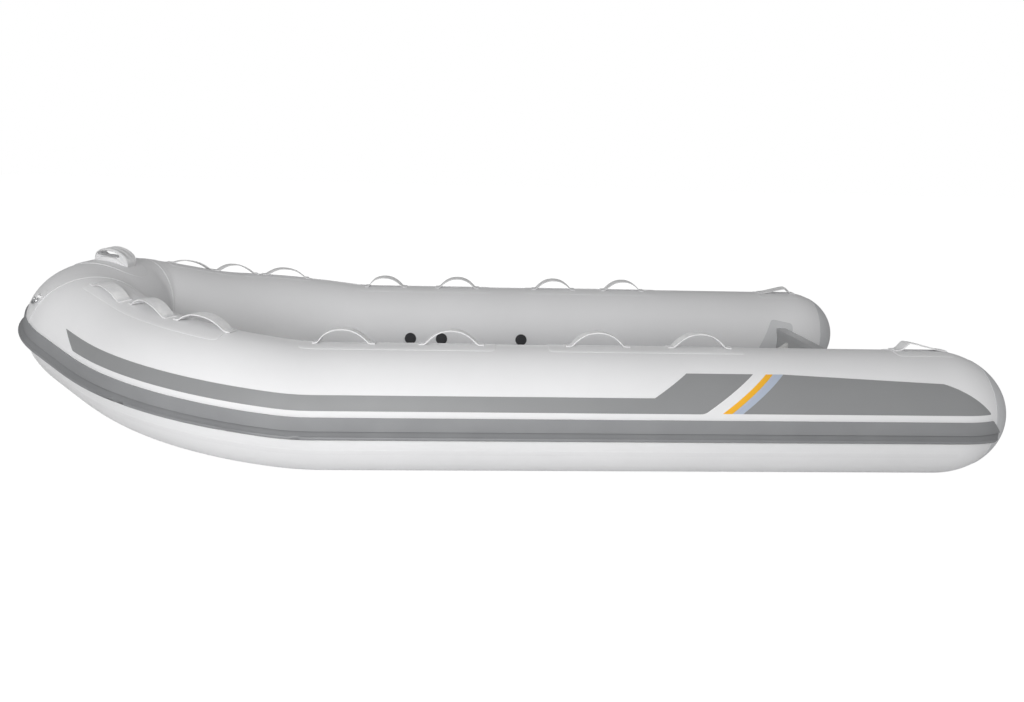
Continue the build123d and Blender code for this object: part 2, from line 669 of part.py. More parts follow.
def build_hull(tubes):
    body = loft([whole_section(*hull_section(place, keel)) for place, keel in KEEL_LINE], ruled=True)
    sole = DECK_Z - LINER_THICK
    step = BOW_STEP_Z - LINER_THICK
    well = [(-FAR, sole), (BOW_STEP_X, sole), (BOW_STEP_X + BOW_STEP_RUN, step), (FAR, step),
            (FAR, FAR), (-FAR, FAR)]
    hollow = extrude(Plane.XZ * make_face(Polyline(*well, close=True)), amount=FAR / 2, both=True)
    hull = body - hollow - tubes
    keep("hull", hull)

    # Sole liner: level, then up a riser to the bow deck.
    top = [(X_TRANSOM_FRONT, DECK_Z), (BOW_STEP_X - LINER_THICK, DECK_Z),
           (BOW_STEP_X + BOW_STEP_RUN - LINER_THICK, BOW_STEP_Z), (AXIS_PIECES[-1].start.point.X, BOW_STEP_Z)]
    under = [(AXIS_PIECES[-1].start.point.X, step), (BOW_STEP_X + BOW_STEP_RUN, step), (BOW_STEP_X, sole),
             (X_TRANSOM_FRONT, sole)]
    slab = extrude(Plane.XZ * make_face(Polyline(*(top + under), close=True)), amount=FAR / 2, both=True)
    liner = (slab & body) - tubes - NODES["port_seam_tapes"] - NODES["starboard_seam_tapes"]
    keep("deck_liner", liner)

    half_wide = HALF_SPACING - sqrt(TUBE_R ** 2 - (AXIS_Z - DECK_Z) ** 2) - BOND_WIDE
    pad_from = X_TRANSOM_FRONT + KNEE_LONG + PAD_EDGE
    pad_to = BOW_STEP_X - LINER_THICK - PAD_EDGE
    keep("deck_non_slip", Pos((pad_from + pad_to) / 2, 0, DECK_Z + PAD_THICK / 2) * Box(
        pad_to - pad_from, 2 * half_wide, PAD_THICK))

    # Keel guard: a bar that follows the keel.
    line = [(hull_section(place, keel)[0], keel) for place, keel in KEEL_LINE]
    upper = [(x, z + 3 * KEEL_GUARD_THICK) for x, z in line]
    lower = [(x, z - KEEL_GUARD_THICK) for x, z in line]
    bar = extrude(Plane.XZ * make_face(Polyline(*(upper + lower[::-1]), close=True)),
                  amount=KEEL_GUARD_WIDE / 2, both=True)
    keep("keel_guard", bar - body)


def deck_angle():
    """Where the sole meets the tube, as an angle on its skin."""
    return 180 + degrees(asin((AXIS_Z - DECK_Z) / TUBE_R))


def build_deck_bond():
    """Tape between the sole and the side tubes."""
    section = sector(TUBE_R, TUBE_R + TAPE_THICK, deck_angle() - skin_angle(BOND_WIDE), deck_angle() - BOND_GAP)
    keep_both("deck_bond_tapes", along(section, KEEL_LINE[0][0] + SEAT_GAP, SIDE_RUN))


# ---------------------------------------------------------------- transom
def build_transom(tubes):
    keel, *_, bottom, chine, side = hull_section(*KEEL_LINE[0])[1]
    outline = whole_section(X_TRANSOM, [keel, bottom, chine, side, (HALF_SPACING - TUBE_R / 2, TRANSOM_TOP)])
    board = extrude(outline, amount=TRANSOM_THICK) - tubes
    drains = []
    middle = (X_TRANSOM + X_TRANSOM_FRONT) / 2
    for side in (-1, 1):
        outer = DRAIN_BORE / 2 + DRAIN_WALL
        place = Pos(middle, side * DRAIN_Y, DRAIN_Z) * Rot(0, 90, 0)
        board = board - place * Cylinder(outer, 2 * TRANSOM_THICK)
        sleeve = place * Cylinder(outer, TRANSOM_THICK)
        lip = Pos(X_TRANSOM - DRAIN_FLANGE / 2, side * DRAIN_Y, DRAIN_Z) * Rot(0, 90, 0) * Cylinder(
            DRAIN_FLANGE_R, DRAIN_FLANGE)
        bore = place * Cylinder(DRAIN_BORE / 2, TRANSOM_THICK + 4 * DRAIN_FLANGE)
        drains.append(sleeve + lip - bore)
    keep("transom_board", board)
    keep("transom_drains", join(drains))

    # Reinforcing patches on the tubes astride the transom, and the cap moulding that ends against them.
    front, aft = X_TRANSOM_FRONT, X_TRANSOM
    wide = 2 * (HALF_SPACING - TUBE_R / 2)
    outer_box = Pos(middle, 0, TRANSOM_TOP + CAP_THICK - (CAP_LIP + CAP_THICK) / 2) * Box(
        TRANSOM_THICK + 2 * CAP_THICK, wide, CAP_LIP + CAP_THICK)
    outer_box = fillet(outer_box.edges().filter_by(Axis.Y).group_by(Axis.Z)[-1], CAP_THICK)
    bond_z = AXIS_Z + polar(TUBE_R, deck_angle() - skin_angle(BOND_WIDE))[1]
    foot = bond_z + PATCH_OVER_BOND
    corners = [(front + PATCH_FORE_FOOT, foot), (front + PATCH_FORE_TOP, TRANSOM_TOP + PATCH_OVER),
               (aft - PATCH_AFT, TRANSOM_TOP + PATCH_OVER_AFT), (aft - PATCH_AFT, foot)]
    face = make_face(Polyline(*corners, close=True))
    upper = face.vertices().sort_by(Axis.Y)[-2:]
    shell = along(ring(TAPE_THICK), 0, KEEL_LINE[0][0] + 2 * PATCH_FORE_FOOT)
    inboard = Pos(0, -FAR / 2 + HALF_SPACING, 0) * Box(2 * FAR, FAR, 2 * FAR)
    seat = Pos(middle, 0, 0) * Box(TRANSOM_THICK + 2 * SEAT_GAP, 2 * FAR, 2 * TRANSOM_TOP)
    patch = (shell & side_prism(fillet(upper, PATCH_ROUND)) & inboard) - seat
    patches = join([patch, to_starboard(patch)])
    keep("transom_patches", patches)
    keep("transom_cap", outer_box - board - tubes - patches)

    # Motor pads on both faces.
    pad_z = TRANSOM_TOP - CAP_LIP - MOTOR_PAD_GAP - MOTOR_PAD_HIGH / 2
    for name, x_pad in (("inner_motor_pad", front + MOTOR_PAD_THICK / 2),
                        ("outer_motor_pad", aft - MOTOR_PAD_THICK / 2)):
        pad = Pos(x_pad, 0, pad_z) * Box(MOTOR_PAD_THICK, MOTOR_PAD_WIDE, MOTOR_PAD_HIGH)
        keep(name, fillet(pad.edges().filter_by(Axis.X), MOTOR_PAD_ROUND))

    # Knees between the sole and the transom's forward face.
    triangle = make_face(Polyline((front, DECK_Z), (front + KNEE_LONG, DECK_Z),
                                  (front + KNEE_LONG, DECK_Z + KNEE_TOE), (front, DECK_Z + KNEE_HIGH), close=True))
    knee = Pos(0, KNEE_Y, 0) * extrude(Plane.XZ * triangle, amount=KNEE_THICK / 2, both=True)
    keep("transom_knees", knee + to_starboard(knee))

    # Eyes on the aft face.
    eyes, plates = [], []
    for side in (-1, 1):
        plate = Pos(X_TRANSOM - EYE_PLATE_THICK / 2, side * EYE_Y, EYE_Z) * Box(
            EYE_PLATE_THICK, EYE_PLATE, EYE_PLATE)
        plates.append(fillet(plate.edges().filter_by(Axis.X), EYE_PLATE_ROUND))
        hoop = Torus(EYE_R, EYE_ROD_R) & Pos(0, 2 * EYE_R, 0) * Box(4 * EYE_R, 4 * EYE_R, 4 * EYE_R)
        turned = Plane(origin=(X_TRANSOM - EYE_PLATE_THICK, side * EYE_Y, EYE_Z), x_dir=(0, 0, 1),
                       z_dir=(0, -1, 0))
        eyes.append(turned * hoop)
    keep("stern_eyes", join([plate + eye for plate, eye in zip(plates, eyes)]))


def write_nodes():
    for name, shape in NODES.items():
        export_step(shape, f"parts/{name}.step")


build_tubes()
build_seam_tapes()
build_strakes()
build_panels()
build_loops()
build_tube_fittings()
TUBES = all_tubes()
build_hull(TUBES)
build_deck_bond()
build_transom(TUBES)
write_nodes()
print("nodes", len(NODES), "axis", round(AXIS_LENGTH, 1))
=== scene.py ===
# %% [markdown]
# # An inflatable boat with a moulded hull
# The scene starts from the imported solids, which are in metres, with +X forward, +Y to port and +Z up.
# Z is zero at the waterline. What is rigid keeps its solid and gets a finish. What is soft, such as the
# air-filled tubes and the webbing loops, is modelled again here as cloth lies, and so is the handle on
# the nose.

from math import atan2, cos, degrees, exp, hypot, pi, radians, sin, sqrt

import bmesh
import bpy
from mathutils import Matrix, Vector


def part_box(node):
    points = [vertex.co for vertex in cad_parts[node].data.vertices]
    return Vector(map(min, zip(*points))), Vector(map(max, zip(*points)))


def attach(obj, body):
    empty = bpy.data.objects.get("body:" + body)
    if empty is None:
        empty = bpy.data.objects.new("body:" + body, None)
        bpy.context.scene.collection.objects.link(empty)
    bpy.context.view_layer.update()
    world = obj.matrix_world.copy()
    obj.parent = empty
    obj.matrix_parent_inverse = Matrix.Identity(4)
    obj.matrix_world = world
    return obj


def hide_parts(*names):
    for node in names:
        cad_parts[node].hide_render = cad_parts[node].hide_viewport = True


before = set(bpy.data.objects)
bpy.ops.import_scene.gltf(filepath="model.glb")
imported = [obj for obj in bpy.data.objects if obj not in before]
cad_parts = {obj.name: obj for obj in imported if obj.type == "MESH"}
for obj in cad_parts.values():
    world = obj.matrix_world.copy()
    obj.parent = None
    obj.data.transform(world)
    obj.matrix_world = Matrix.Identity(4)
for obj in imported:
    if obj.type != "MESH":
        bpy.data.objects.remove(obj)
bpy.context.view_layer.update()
scene = bpy.context.scene
scene.view_settings.view_transform = "Standard"

# %% [markdown]
# ## The camera
# A lens of moderate width stands abreast of the boat, a little above its tubes, and tips down. It looks
# along -Y, which puts the bow at the left. It could be aimed at an empty object, but three angles also
# give the small turn and roll of a camera held by hand.

# %% Camera
SENSOR_WIDE = 36.0  # millimetres
PICTURE_WIDE = 1024
FOCAL_PIXELS = 739.08
CAMERA_PLACE = Vector((0.036, 3.275, 1.110))
TURN, TIP, ROLL = radians(-2.943), radians(13.521), radians(-1.409)


def new_object(name, data):
    """An object with this data, in the scene."""
    thing = bpy.data.objects.new(name, data)
    scene.collection.objects.link(thing)
    return thing


def camera_axes():
    """The camera's own right, up and backward directions."""
    ahead = Vector((sin(TURN) * cos(TIP), -cos(TURN) * cos(TIP), -sin(TIP)))
    level_right = Vector((-cos(TURN), -sin(TURN), 0))
    level_down = ahead.cross(level_right)
    right = level_right * cos(ROLL) + level_down * sin(ROLL)
    down = level_down * cos(ROLL) - level_right * sin(ROLL)
    return right, -down, -ahead


camera_data = bpy.data.cameras.new("camera")
camera_data.sensor_width = SENSOR_WIDE
camera_data.lens = FOCAL_PIXELS / PICTURE_WIDE * SENSOR_WIDE
camera = new_object("camera", camera_data)
camera.matrix_world = Matrix.Translation(CAMERA_PLACE) @ Matrix(camera_axes()).transposed().to_4x4()
scene.camera = camera
print("lens", round(camera_data.lens, 2), "mm")

# %% [markdown]
# ## Colour and material helpers
# Colours are written as they are seen on a screen, in sRGB hex. Blender works in linear light, so one
# function turns them. Another adds a node with its settings and links in one line. Finishes could come
# from image files, but noise that is worked out at each point has no seams and needs no other file.

# %% Helpers for materials
RAMP_ENDS = (0.3, 0.7)  # the part of a noise's range in which its two tones mix


def linear(hex_colour):
    """An sRGB hex colour in Blender's linear light."""
    values = [int(hex_colour[i:i + 2], 16) / 255 for i in (1, 3, 5)]
    return [v / 12.92 if v <= 0.04045 else ((v + 0.055) / 1.055) ** 2.4 for v in values] + [1.0]


def add(tree, kind, links=None, **settings):
    """A node: settings name its properties or sockets, links its inputs' sources."""
    node = tree.nodes.new(kind)
    for name, value in settings.items():
        if hasattr(node, name):
            setattr(node, name, value)
        else:
            node.inputs[name.replace("_", " ")].default_value = value
    for name, source in (links or {}).items():
        tree.links.new(source, node.inputs[name])
    return node


def fresh_tree(owner):
    """The emptied node tree of a material or world."""
    owner.use_nodes = True
    owner.node_tree.nodes.clear()
    return owner.node_tree


def new_material(name, **surface):
    """A material, its tree, its surface shader with these constants, and Object coordinates."""
    material = bpy.data.materials.new(name)
    tree = fresh_tree(material)
    shader = add(tree, "ShaderNodeBsdfPrincipled")
    for socket, value in surface.items():
        shader.inputs[socket.replace("_", " ")].default_value = value
    add(tree, "ShaderNodeOutputMaterial", {"Surface": shader.outputs["BSDF"]})
    return material, tree, shader, add(tree, "ShaderNodeTexCoord").outputs["Object"]


def noise(tree, place, size_mm, detail=2.0):
    """Noise whose blotches are about this many millimetres apart."""
    blotches = add(tree, "ShaderNodeTexNoise", {"Vector": place}, Scale=1000 / size_mm, Detail=detail)
    return blotches.outputs["Fac"]


def two_tones(tree, source, low, high):
    """A colour that goes from one tone to another as the source rises."""
    ramp = add(tree, "ShaderNodeValToRGB", {"Fac": source})
    first, last = ramp.color_ramp.elements
    first.position, last.position = RAMP_ENDS
    first.color, last.color = linear(low), linear(high)
    return ramp.outputs["Color"]


def span(tree, source, low, high):
    """A value between two, as the source goes from 0 to 1."""
    return add(tree, "ShaderNodeMapRange", {"Value": source}, To_Min=low, To_Max=high).outputs["Result"]


def sums(tree, operation, first, second):
    """One Math node, on sources or plain numbers."""
    node = add(tree, "ShaderNodeMath", operation=operation)
    for socket, value in zip(node.inputs, (first, second)):
        if isinstance(value, (int, float)):
            socket.default_value = value
        else:
            tree.links.new(value, socket)
    return node.outputs[0]


def bumped(tree, shader, height, depth_mm, strength):
    """Small relief on a surface, this many millimetres deep."""
    bump = add(tree, "ShaderNodeBump", {"Height": height}, Strength=strength, Distance=depth_mm / 1000)
    tree.links.new(bump.outputs["Normal"], shader.inputs["Normal"])


def mottled(tree, shader, tones, light, dark, scuffs, low, high):
    """A colour between two tones and a roughness between two values, by noise."""
    tree.links.new(two_tones(tree, tones, dark, light), shader.inputs["Base Color"])
    tree.links.new(span(tree, scuffs, low, high), shader.inputs["Roughness"])


print("middle grey is", round(linear("#808080")[0], 3))

# %% [markdown]
# ## Coated tube fabric
# The tubes are woven polyester with a smooth synthetic coat. The eye gets a broad, soft highlight and a
# very even colour, and only close by the grain of the weave. Handling leaves cloudy patches that are a
# little duller or shinier, but hardly any darker. The weave could be a picture that repeats, but threads
# made of sine waves stay sharp close by.

# %% Fabric
COAT = {"IOR": 1.45, "Specular_IOR_Level": 0.28, "Sheen_Weight": 0.08}
CLOUD_MM, SCUFF_MM = 420, 70  # spacing of the cloudy patches and of the scuffs
GRAIN_MM = 2.5
TUBE_WEAVE_MM = 1.6
SLACK_MM = 160  # spacing of the cloth's slight waves
UV_NAME = "metres"  # the map that holds metres along and across a soft piece


def coat_tones(tree, shader, place, light, dark, rough):
    """The coat's cloudy colour and scuffed gloss."""
    cloud, scuff = noise(tree, place, CLOUD_MM, 4.0), noise(tree, place, SCUFF_MM, 6.0)
    mottled(tree, shader, cloud, light, dark, scuff, rough - 0.08, rough + 0.10)


def coated_fabric(name, light, dark, rough):
    """Coated cloth with a fine grain."""
    material, tree, shader, place = new_material(name, **COAT)
    coat_tones(tree, shader, place, light, dark, rough)
    bumped(tree, shader, noise(tree, place, GRAIN_MM), 0.05, 0.35)
    return material


def cloth_metres(tree):
    """Metres along and across a piece, from its own UV map."""
    uv = add(tree, "ShaderNodeUVMap", uv_map=UV_NAME).outputs["UV"]
    metres = add(tree, "ShaderNodeSeparateXYZ", {"Vector": uv})
    return metres.outputs["X"], metres.outputs["Y"]


def thread(tree, source, spacing_mm):
    """A wave that rises once for each thread."""
    return sums(tree, "SINE", sums(tree, "MULTIPLY", source, 2000 * pi / spacing_mm), 0)


def woven_tube_fabric(name, light, dark, rough):
    """Coated cloth whose weave follows the tube."""
    material, tree, shader, place = new_material(name, **COAT)
    along, across = cloth_metres(tree)
    weave = sums(tree, "MULTIPLY", thread(tree, along, TUBE_WEAVE_MM), thread(tree, across, TUBE_WEAVE_MM))
    coat_tones(tree, shader, place, light, dark, rough)
    slack = sums(tree, "ADD", sums(tree, "MULTIPLY", noise(tree, place, SLACK_MM), 6.0), weave)
    bumped(tree, shader, slack, 0.06, 0.3)
    return material


TUBE_FABRIC = woven_tube_fabric("light coated tube fabric", "#F4F4F5", "#EFEFF0", 0.52)
TAPE_FABRIC = coated_fabric("seam tape fabric", "#F2F2F3", "#ECECED", 0.54)
PATCH_FABRIC = coated_fabric("reinforcing patch fabric", "#DFE0E1", "#D7D8DA", 0.5)
CAP_FABRIC = coated_fabric("stern cap fabric", "#DADBDD", "#D2D3D5", 0.44)
PANEL_FABRIC = coated_fabric("grey side panel fabric", "#98999A", "#939495", 0.38)
ORANGE_FABRIC = coated_fabric("orange stripe fabric", "#FFC03C", "#FBB934", 0.38)
BLUE_FABRIC = coated_fabric("pale blue stripe fabric", "#BCC6D7", "#B6C0D1", 0.38)
print("materials", len(bpy.data.materials))

# %% [markdown]
# ## Woven webbing
# The hand loops are flat polyester webbing, duller than the coated tubes. Close by, the eye gets its ribs
# and finer threads. They could be modelled one by one, but as relief from the strap's own UV map they
# bend with each loop at no cost. The colour is also painted a little darker where the threads dip, as
# painted shade.

# %% Webbing
RIB_MM, ROW_MM = 3.0, 1.5  # spacing of ribs and of threads


def webbing(name, light, dark):
    """Dull woven strap, with relief from its threads, painted shade where they dip and a random tone."""
    material, tree, shader, place = new_material(name, Roughness=0.78, Sheen_Weight=0.25)
    along, across = cloth_metres(tree)
    ribs, rows = thread(tree, along, RIB_MM), thread(tree, across, ROW_MM)
    weave = sums(tree, "ADD", sums(tree, "MULTIPLY", ribs, rows), sums(tree, "MULTIPLY", rows, 0.4))
    # painted shade: the colour darkens where the weave dips, mixed with a random tone from noise
    painted_shade_and_tone = sums(tree, "ADD", sums(tree, "MULTIPLY", weave, 0.18), noise(tree, place, 25, 4.0))
    tree.links.new(two_tones(tree, painted_shade_and_tone, dark, light), shader.inputs["Base Color"])
    bumped(tree, shader, weave, 0.25, 0.6)
    return material


STRAP_WEBBING = webbing("woven strap webbing", "#FAFAFA", "#ECECED")
print("webbing with a rib every", RIB_MM, "mm")

# %% [markdown]
# ## Extruded rubber strake
# The strake is grey rubber pushed through a die. The eye gets a satin surface with a fine grain and a
# little pale bloom. Handle and motor pads are rubber too, so one function makes all of them.

# %% Strake rubber
BLOOM_MM, RUBBER_GRAIN_MM = 160, 4


def extruded_rubber(name, light, dark, rough):
    """Satin rubber with pale bloom."""
    material, tree, shader, place = new_material(name)
    bloom = noise(tree, place, BLOOM_MM, 5.0)
    mottled(tree, shader, bloom, light, dark, bloom, rough - 0.06, rough + 0.12)
    bumped(tree, shader, noise(tree, place, RUBBER_GRAIN_MM), 0.06, 0.3)
    return material


STRAKE_RUBBER = extruded_rubber("extruded grey rubber band", "#97989A", "#909193", 0.45)
RIDGE_RUBBER = extruded_rubber("extruded grey rubber ridge", "#929395", "#8A8B8D", 0.42)
PAD_RUBBER = extruded_rubber("black ribbed pad rubber", "#2A2A2C", "#202022", 0.55)
HANDLE_RUBBER = extruded_rubber("light moulded handle rubber", "#F3F3F3", "#ECECED", 0.4)
print("materials", len(bpy.data.materials))

# %% [markdown]
# ## Gelcoat, stainless steel and moulded polymer
# The hull and deck are glass laminate sprayed with gelcoat in a polished mould: the eye gets a hard
# gloss with very slight waves. The rings and eyes are polished stainless rod, with fine streaks. Valves
# and drains are moulded polymer with a spark-eroded grain. One glossy layer could do for gelcoat, but a
# clear coat over the base gives it a second, sharper highlight.

# %% Hard finishes
MOULD_TINT_MM, MOULD_WAVE_MM = 600, 110  # spacing of the gelcoat's tones and of its waves
STREAK_MM = 5
POLYMER_TINT_MM, SPARK_GRAIN_MM = 40, 1.4


def gelcoat(name, light, dark, rough):
    """Glossy laminate from a polished mould."""
    material, tree, shader, place = new_material(name, Coat_Weight=0.4)
    tint = noise(tree, place, MOULD_TINT_MM, 3.0)
    mottled(tree, shader, tint, light, dark, tint, rough, rough + 0.08)
    bumped(tree, shader, noise(tree, place, MOULD_WAVE_MM, 1.0), 0.6, 0.12)
    return material


def polished_steel(name, light, dark):
    """Bright metal with fine streaks of duller polish."""
    material, tree, shader, place = new_material(name, Metallic=1.0)
    streak = noise(tree, place, STREAK_MM, 4.0)
    mottled(tree, shader, streak, light, dark, streak, 0.14, 0.28)
    return material


def moulded_polymer(name, light, dark, rough):
    """Plain plastic with the fine grain of its mould."""
    material, tree, shader, place = new_material(name)
    tint = noise(tree, place, POLYMER_TINT_MM, 3.0)
    mottled(tree, shader, tint, light, dark, tint, rough - 0.05, rough + 0.08)
    bumped(tree, shader, noise(tree, place, SPARK_GRAIN_MM, 1.0), 0.08, 0.4)
    return material


HULL_GELCOAT = gelcoat("white hull gelcoat", "#EDEDEB", "#E7E7E5", 0.16)
DECK_GELCOAT = gelcoat("white deck gelcoat", "#E6E6E4", "#DFDFDD", 0.3)
TRANSOM_GELCOAT = gelcoat("grey transom gelcoat", "#B9BABB", "#B1B2B3", 0.28)
STEEL = polished_steel("polished stainless steel", "#D8D8D9", "#BFC0C2")
DARK_POLYMER = moulded_polymer("dark grey moulded polymer", "#434346", "#39393C", 0.42)
NON_SLIP = moulded_polymer("grey non-slip moulding", "#B2B3B5", "#A8A9AB", 0.6)
print("materials", len(bpy.data.materials))

# %% [markdown]
# ## A finish for each solid
# The solids' names say what they are. Each could be dressed by hand, but a table from words to finishes
# is shorter. The first row whose words are in a name counts.

# %% Finishes on the rigid nodes
FINISHES = (
    ("rubbing_band", STRAKE_RUBBER),
    ("rubbing_ridge", RIDGE_RUBBER),
    ("keel_guard", STRAKE_RUBBER),
    ("towing_ring_patches", TAPE_FABRIC),
    ("towing_ring_webs", STRAP_WEBBING),
    ("transom_patches", PATCH_FABRIC),
    ("towing_ring", STEEL),
    ("stern_eyes", STEEL),
    ("valve", DARK_POLYMER),
    ("transom_drains", DARK_POLYMER),
    ("motor_pad", PAD_RUBBER),
    ("deck_non_slip", NON_SLIP),
    ("deck_liner", DECK_GELCOAT),
    ("transom_knees", DECK_GELCOAT),
    ("transom_board", TRANSOM_GELCOAT),
    ("transom_cap", TRANSOM_GELCOAT),
    ("hull", HULL_GELCOAT),
    ("orange_stripes", ORANGE_FABRIC),
    ("blue_stripes", BLUE_FABRIC),
    ("side_panels", PANEL_FABRIC),
    ("stern_cap", CAP_FABRIC),
)


def give(piece, material):
    """One finish all over a piece."""
    piece.data.materials.clear()
    piece.data.materials.append(material)


def finish_of(node):
    """The finish that a node's name asks for."""
    for words, material in FINISHES:
        if words in node:
            return material
    return TAPE_FABRIC


for node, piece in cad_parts.items():
    give(piece, finish_of(node))
print("finished", len(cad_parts), "nodes")

# %% [markdown]
# ## The tube's axis
# The tubes follow one line: a straight side, a rise, a broad shoulder, a little more sheer and a tight
# nose. Everything soft is placed by how far along this line it lies and by its angle round the tube,
# up from outboard, so it hugs the tube wherever that bends. A Bezier curve could carry it too, but runs
# and arcs have known lengths and radii.

# %% Axis
AXIS_START = Vector((-1.672, 0.690, 0.275))
AXIS_LAYOUT = (  # kind, length of a run or radius of an arc, degrees
    ("run", 2.248, 0), ("rise", 1.032, 7.466), ("turn", 0.921, 35.59), ("rise", 1.408, 7.892),
    ("run", 0.190, 0), ("turn", 0.255, 54.668), ("fall", 0.500, 4.583), ("run", 0.0486, 0),
)
AXIS_LENGTH = sum(size if kind == "run" else size * radians(angle) for kind, size, angle in AXIS_LAYOUT)
STATIONS = {}  # what was worked out before


def station(place):
    """Point, forward, outboard and up on the port tube's axis, this far ahead of its dome."""
    if place in STATIONS:
        return STATIONS[place]
    point, ahead, out, up = AXIS_START.copy(), Vector((1, 0, 0)), Vector((0, 1, 0)), Vector((0, 0, 1))
    left = place
    for kind, size, angle in AXIS_LAYOUT:
        step = min(left, size if kind == "run" else size * radians(angle))
        if kind == "run":
            point = point + ahead * step
        else:
            to_hub, axle = {"rise": (up, -out), "fall": (-up, out), "turn": (-out, -up)}[kind]
            turn = Matrix.Rotation(step / size, 3, axle)
            hub = point + to_hub * size
            point = hub + turn @ (point - hub)
            ahead, out, up = turn @ ahead, turn @ out, turn @ up
        left -= step
        if left <= 0:
            break
    STATIONS[place] = point, ahead, out, up
    return STATIONS[place]


print("axis", round(AXIS_LENGTH, 4), "m, nose at", [round(v, 3) for v in station(AXIS_LENGTH)[0]])

# %% [markdown]
# ## Points on the tube
# A place along the axis, an angle round it and a lift give a point on the cloth or just over it. Past the
# nose the place comes back along the other tube. One function for all pieces keeps them on one surface.

# %% Points on the tube
TUBE_R = 0.230
DOME_LONG = 0.255
DOME_ARC = 0.381  # along the domed stern, to its pole
SIDES = ((1, "port"), (-1, "starboard"))


def skin(place, angle, lift=0.0, side=1):
    """A point on the tube's skin, or over it. Below zero the place runs round the domed stern."""
    if place > AXIS_LENGTH:
        place, side = 2 * AXIS_LENGTH - place, -side
    point, ahead, out, up = station(max(place, 0.0))
    spoke = out * cos(radians(angle)) + up * sin(radians(angle))
    round_dome = min(-min(place, 0.0) / DOME_ARC, 1.0) * pi / 2
    point = point + spoke * (TUBE_R + lift) * cos(round_dome) - ahead * (DOME_LONG + lift) * sin(round_dome)
    return Vector((point.x, point.y * side, point.z))


def spaced(begin, end, step):
    """Even places from begin to end, about a step apart."""
    count = max(1, round((end - begin) / step + 0.49))
    return [begin + (end - begin) * i / count for i in range(count + 1)]


print("top of the tube", [round(v, 3) for v in skin(0, 90)])

# %% [markdown]
# ## Bodies swept through rings
# A tube, a strap and a strip are all rows of closed rings of points. A bevelled curve can't reshape its
# section on its way, so faces are laid from ring to ring, with a UV map in metres for the weaves above.

# %% Swept bodies
SHARP_EDGE = 35  # degrees between two faces, from which their edge stays sharp


def swept(name, rings, along, across, sharp=SHARP_EDGE, joined=False):
    """A body through rings of points, with closed ends or joined into one ring."""
    shape = bmesh.new()
    uv = shape.loops.layers.uv.new(UV_NAME)
    grid = [[shape.verts.new(point) for point in ring] for ring in rings]
    rows, count = len(rings), len(rings[0])
    for i in range(rows if joined else rows - 1):
        for k in range(count):
            corners = ((i, k), (i, k + 1), (i + 1, k + 1), (i + 1, k))
            face = shape.faces.new([grid[row % rows][column % count] for row, column in corners])
            for loop, (row, column) in zip(face.loops, corners):
                loop[uv].uv = along[row], across[column]
    if not joined:
        shape.faces.new(grid[0])
        shape.faces.new(grid[-1])
    bmesh.ops.recalc_face_normals(shape, faces=shape.faces)
    for face in shape.faces:
        face.smooth = True
    mesh = bpy.data.meshes.new(name)
    shape.to_mesh(mesh)
    shape.free()
    mesh.set_sharp_from_angle(angle=radians(sharp))
    return new_object(name, mesh)


def part_of_boat(piece, material, slot, *nodes):
    """Finishes a soft piece, ties it to the boat and hides the solids it stands for."""
    give(piece, material)
    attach(piece, "root")
    if nodes:
        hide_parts(*nodes)
    return piece


print("edges stay sharp from", SHARP_EDGE, "degrees")

# %% [markdown]
# ## The inflated tubes
# Air pressure pulls the cloth round and tight. Only where a bend shortens its inner side does it keep
# small folds, and beside a glued seam it draws in a little. Cloth physics could find such folds, but a
# formula puts them where they belong. Each skin stays on or just inside the solid's surface, so the
# strake and the strips seat on it. Rings lie close together only where folds show.

# %% How the cloth lies
SEAM_NOSE = AXIS_LENGTH - 0.252
NOSE_FOLDS, SHOULDER_FOLDS = (AXIS_LENGTH - 0.17, 0.11), (2.69, 0.30)  # middle and reach
SHOULDER_SHARE = 0.35  # depth of the shoulder's folds against the nose's
FOLD_DEEP, FOLD_SPACING = 0.0011, 0.046
FOLD_WANDER = 0.9  # how much a fold wavers round the tube, in radians of its own wave
SEAM_PUCKERS = (SEAM_NOSE - 0.03, 0.02)  # middle and reach
PUCKERS_ROUND = 22
SEAM_DRAW = 0.0005


def near(place, centre, wide):
    """One at the centre, fading to nothing on both sides."""
    return exp(-((place - centre) / wide) ** 2)


def cloth_lift(place, angle):
    """How far the cloth lies inside the round: folds on the inner side of a bend, and drawn seams."""
    inner = max(0.0, -cos(radians(angle))) ** 4
    bend = near(place, *NOSE_FOLDS) + SHOULDER_SHARE * near(place, *SHOULDER_FOLDS)
    fold = (0.5 + 0.5 * sin(2 * pi * place / FOLD_SPACING + FOLD_WANDER * sin(radians(3 * angle)))) ** 2
    drawn = near(place, *SEAM_PUCKERS) * (0.5 + 0.5 * sin(radians(PUCKERS_ROUND * angle)))
    return -FOLD_DEEP * inner * bend * fold - SEAM_DRAW * drawn


print("folds up to", 1000 * FOLD_DEEP, "mm deep, every", 1000 * FOLD_SPACING, "mm")

# %% Tube skins
ROUND_STEPS = 128
DOME_STEPS = 28
POLE_SHARE = 0.002  # share of the dome's arc that one small round face closes
FOLDS_FROM = 2.25  # place from which rings lie close together
PLAIN_STEP, FOLD_STEP, NOSE_STEP = 0.05, 0.016, 0.009


def tube_skin(name, places, side, *nodes):
    """Cloth round the tube through these places."""
    angles = [360 * k / ROUND_STEPS for k in range(ROUND_STEPS + 1)]
    rings = [[skin(place, angle, cloth_lift(place, angle), side) for angle in angles[:-1]]
             for place in places]
    across = [radians(angle) * TUBE_R for angle in angles]
    return part_of_boat(swept(name, rings, places, across), TUBE_FABRIC, "coated_fabric_light", *nodes)


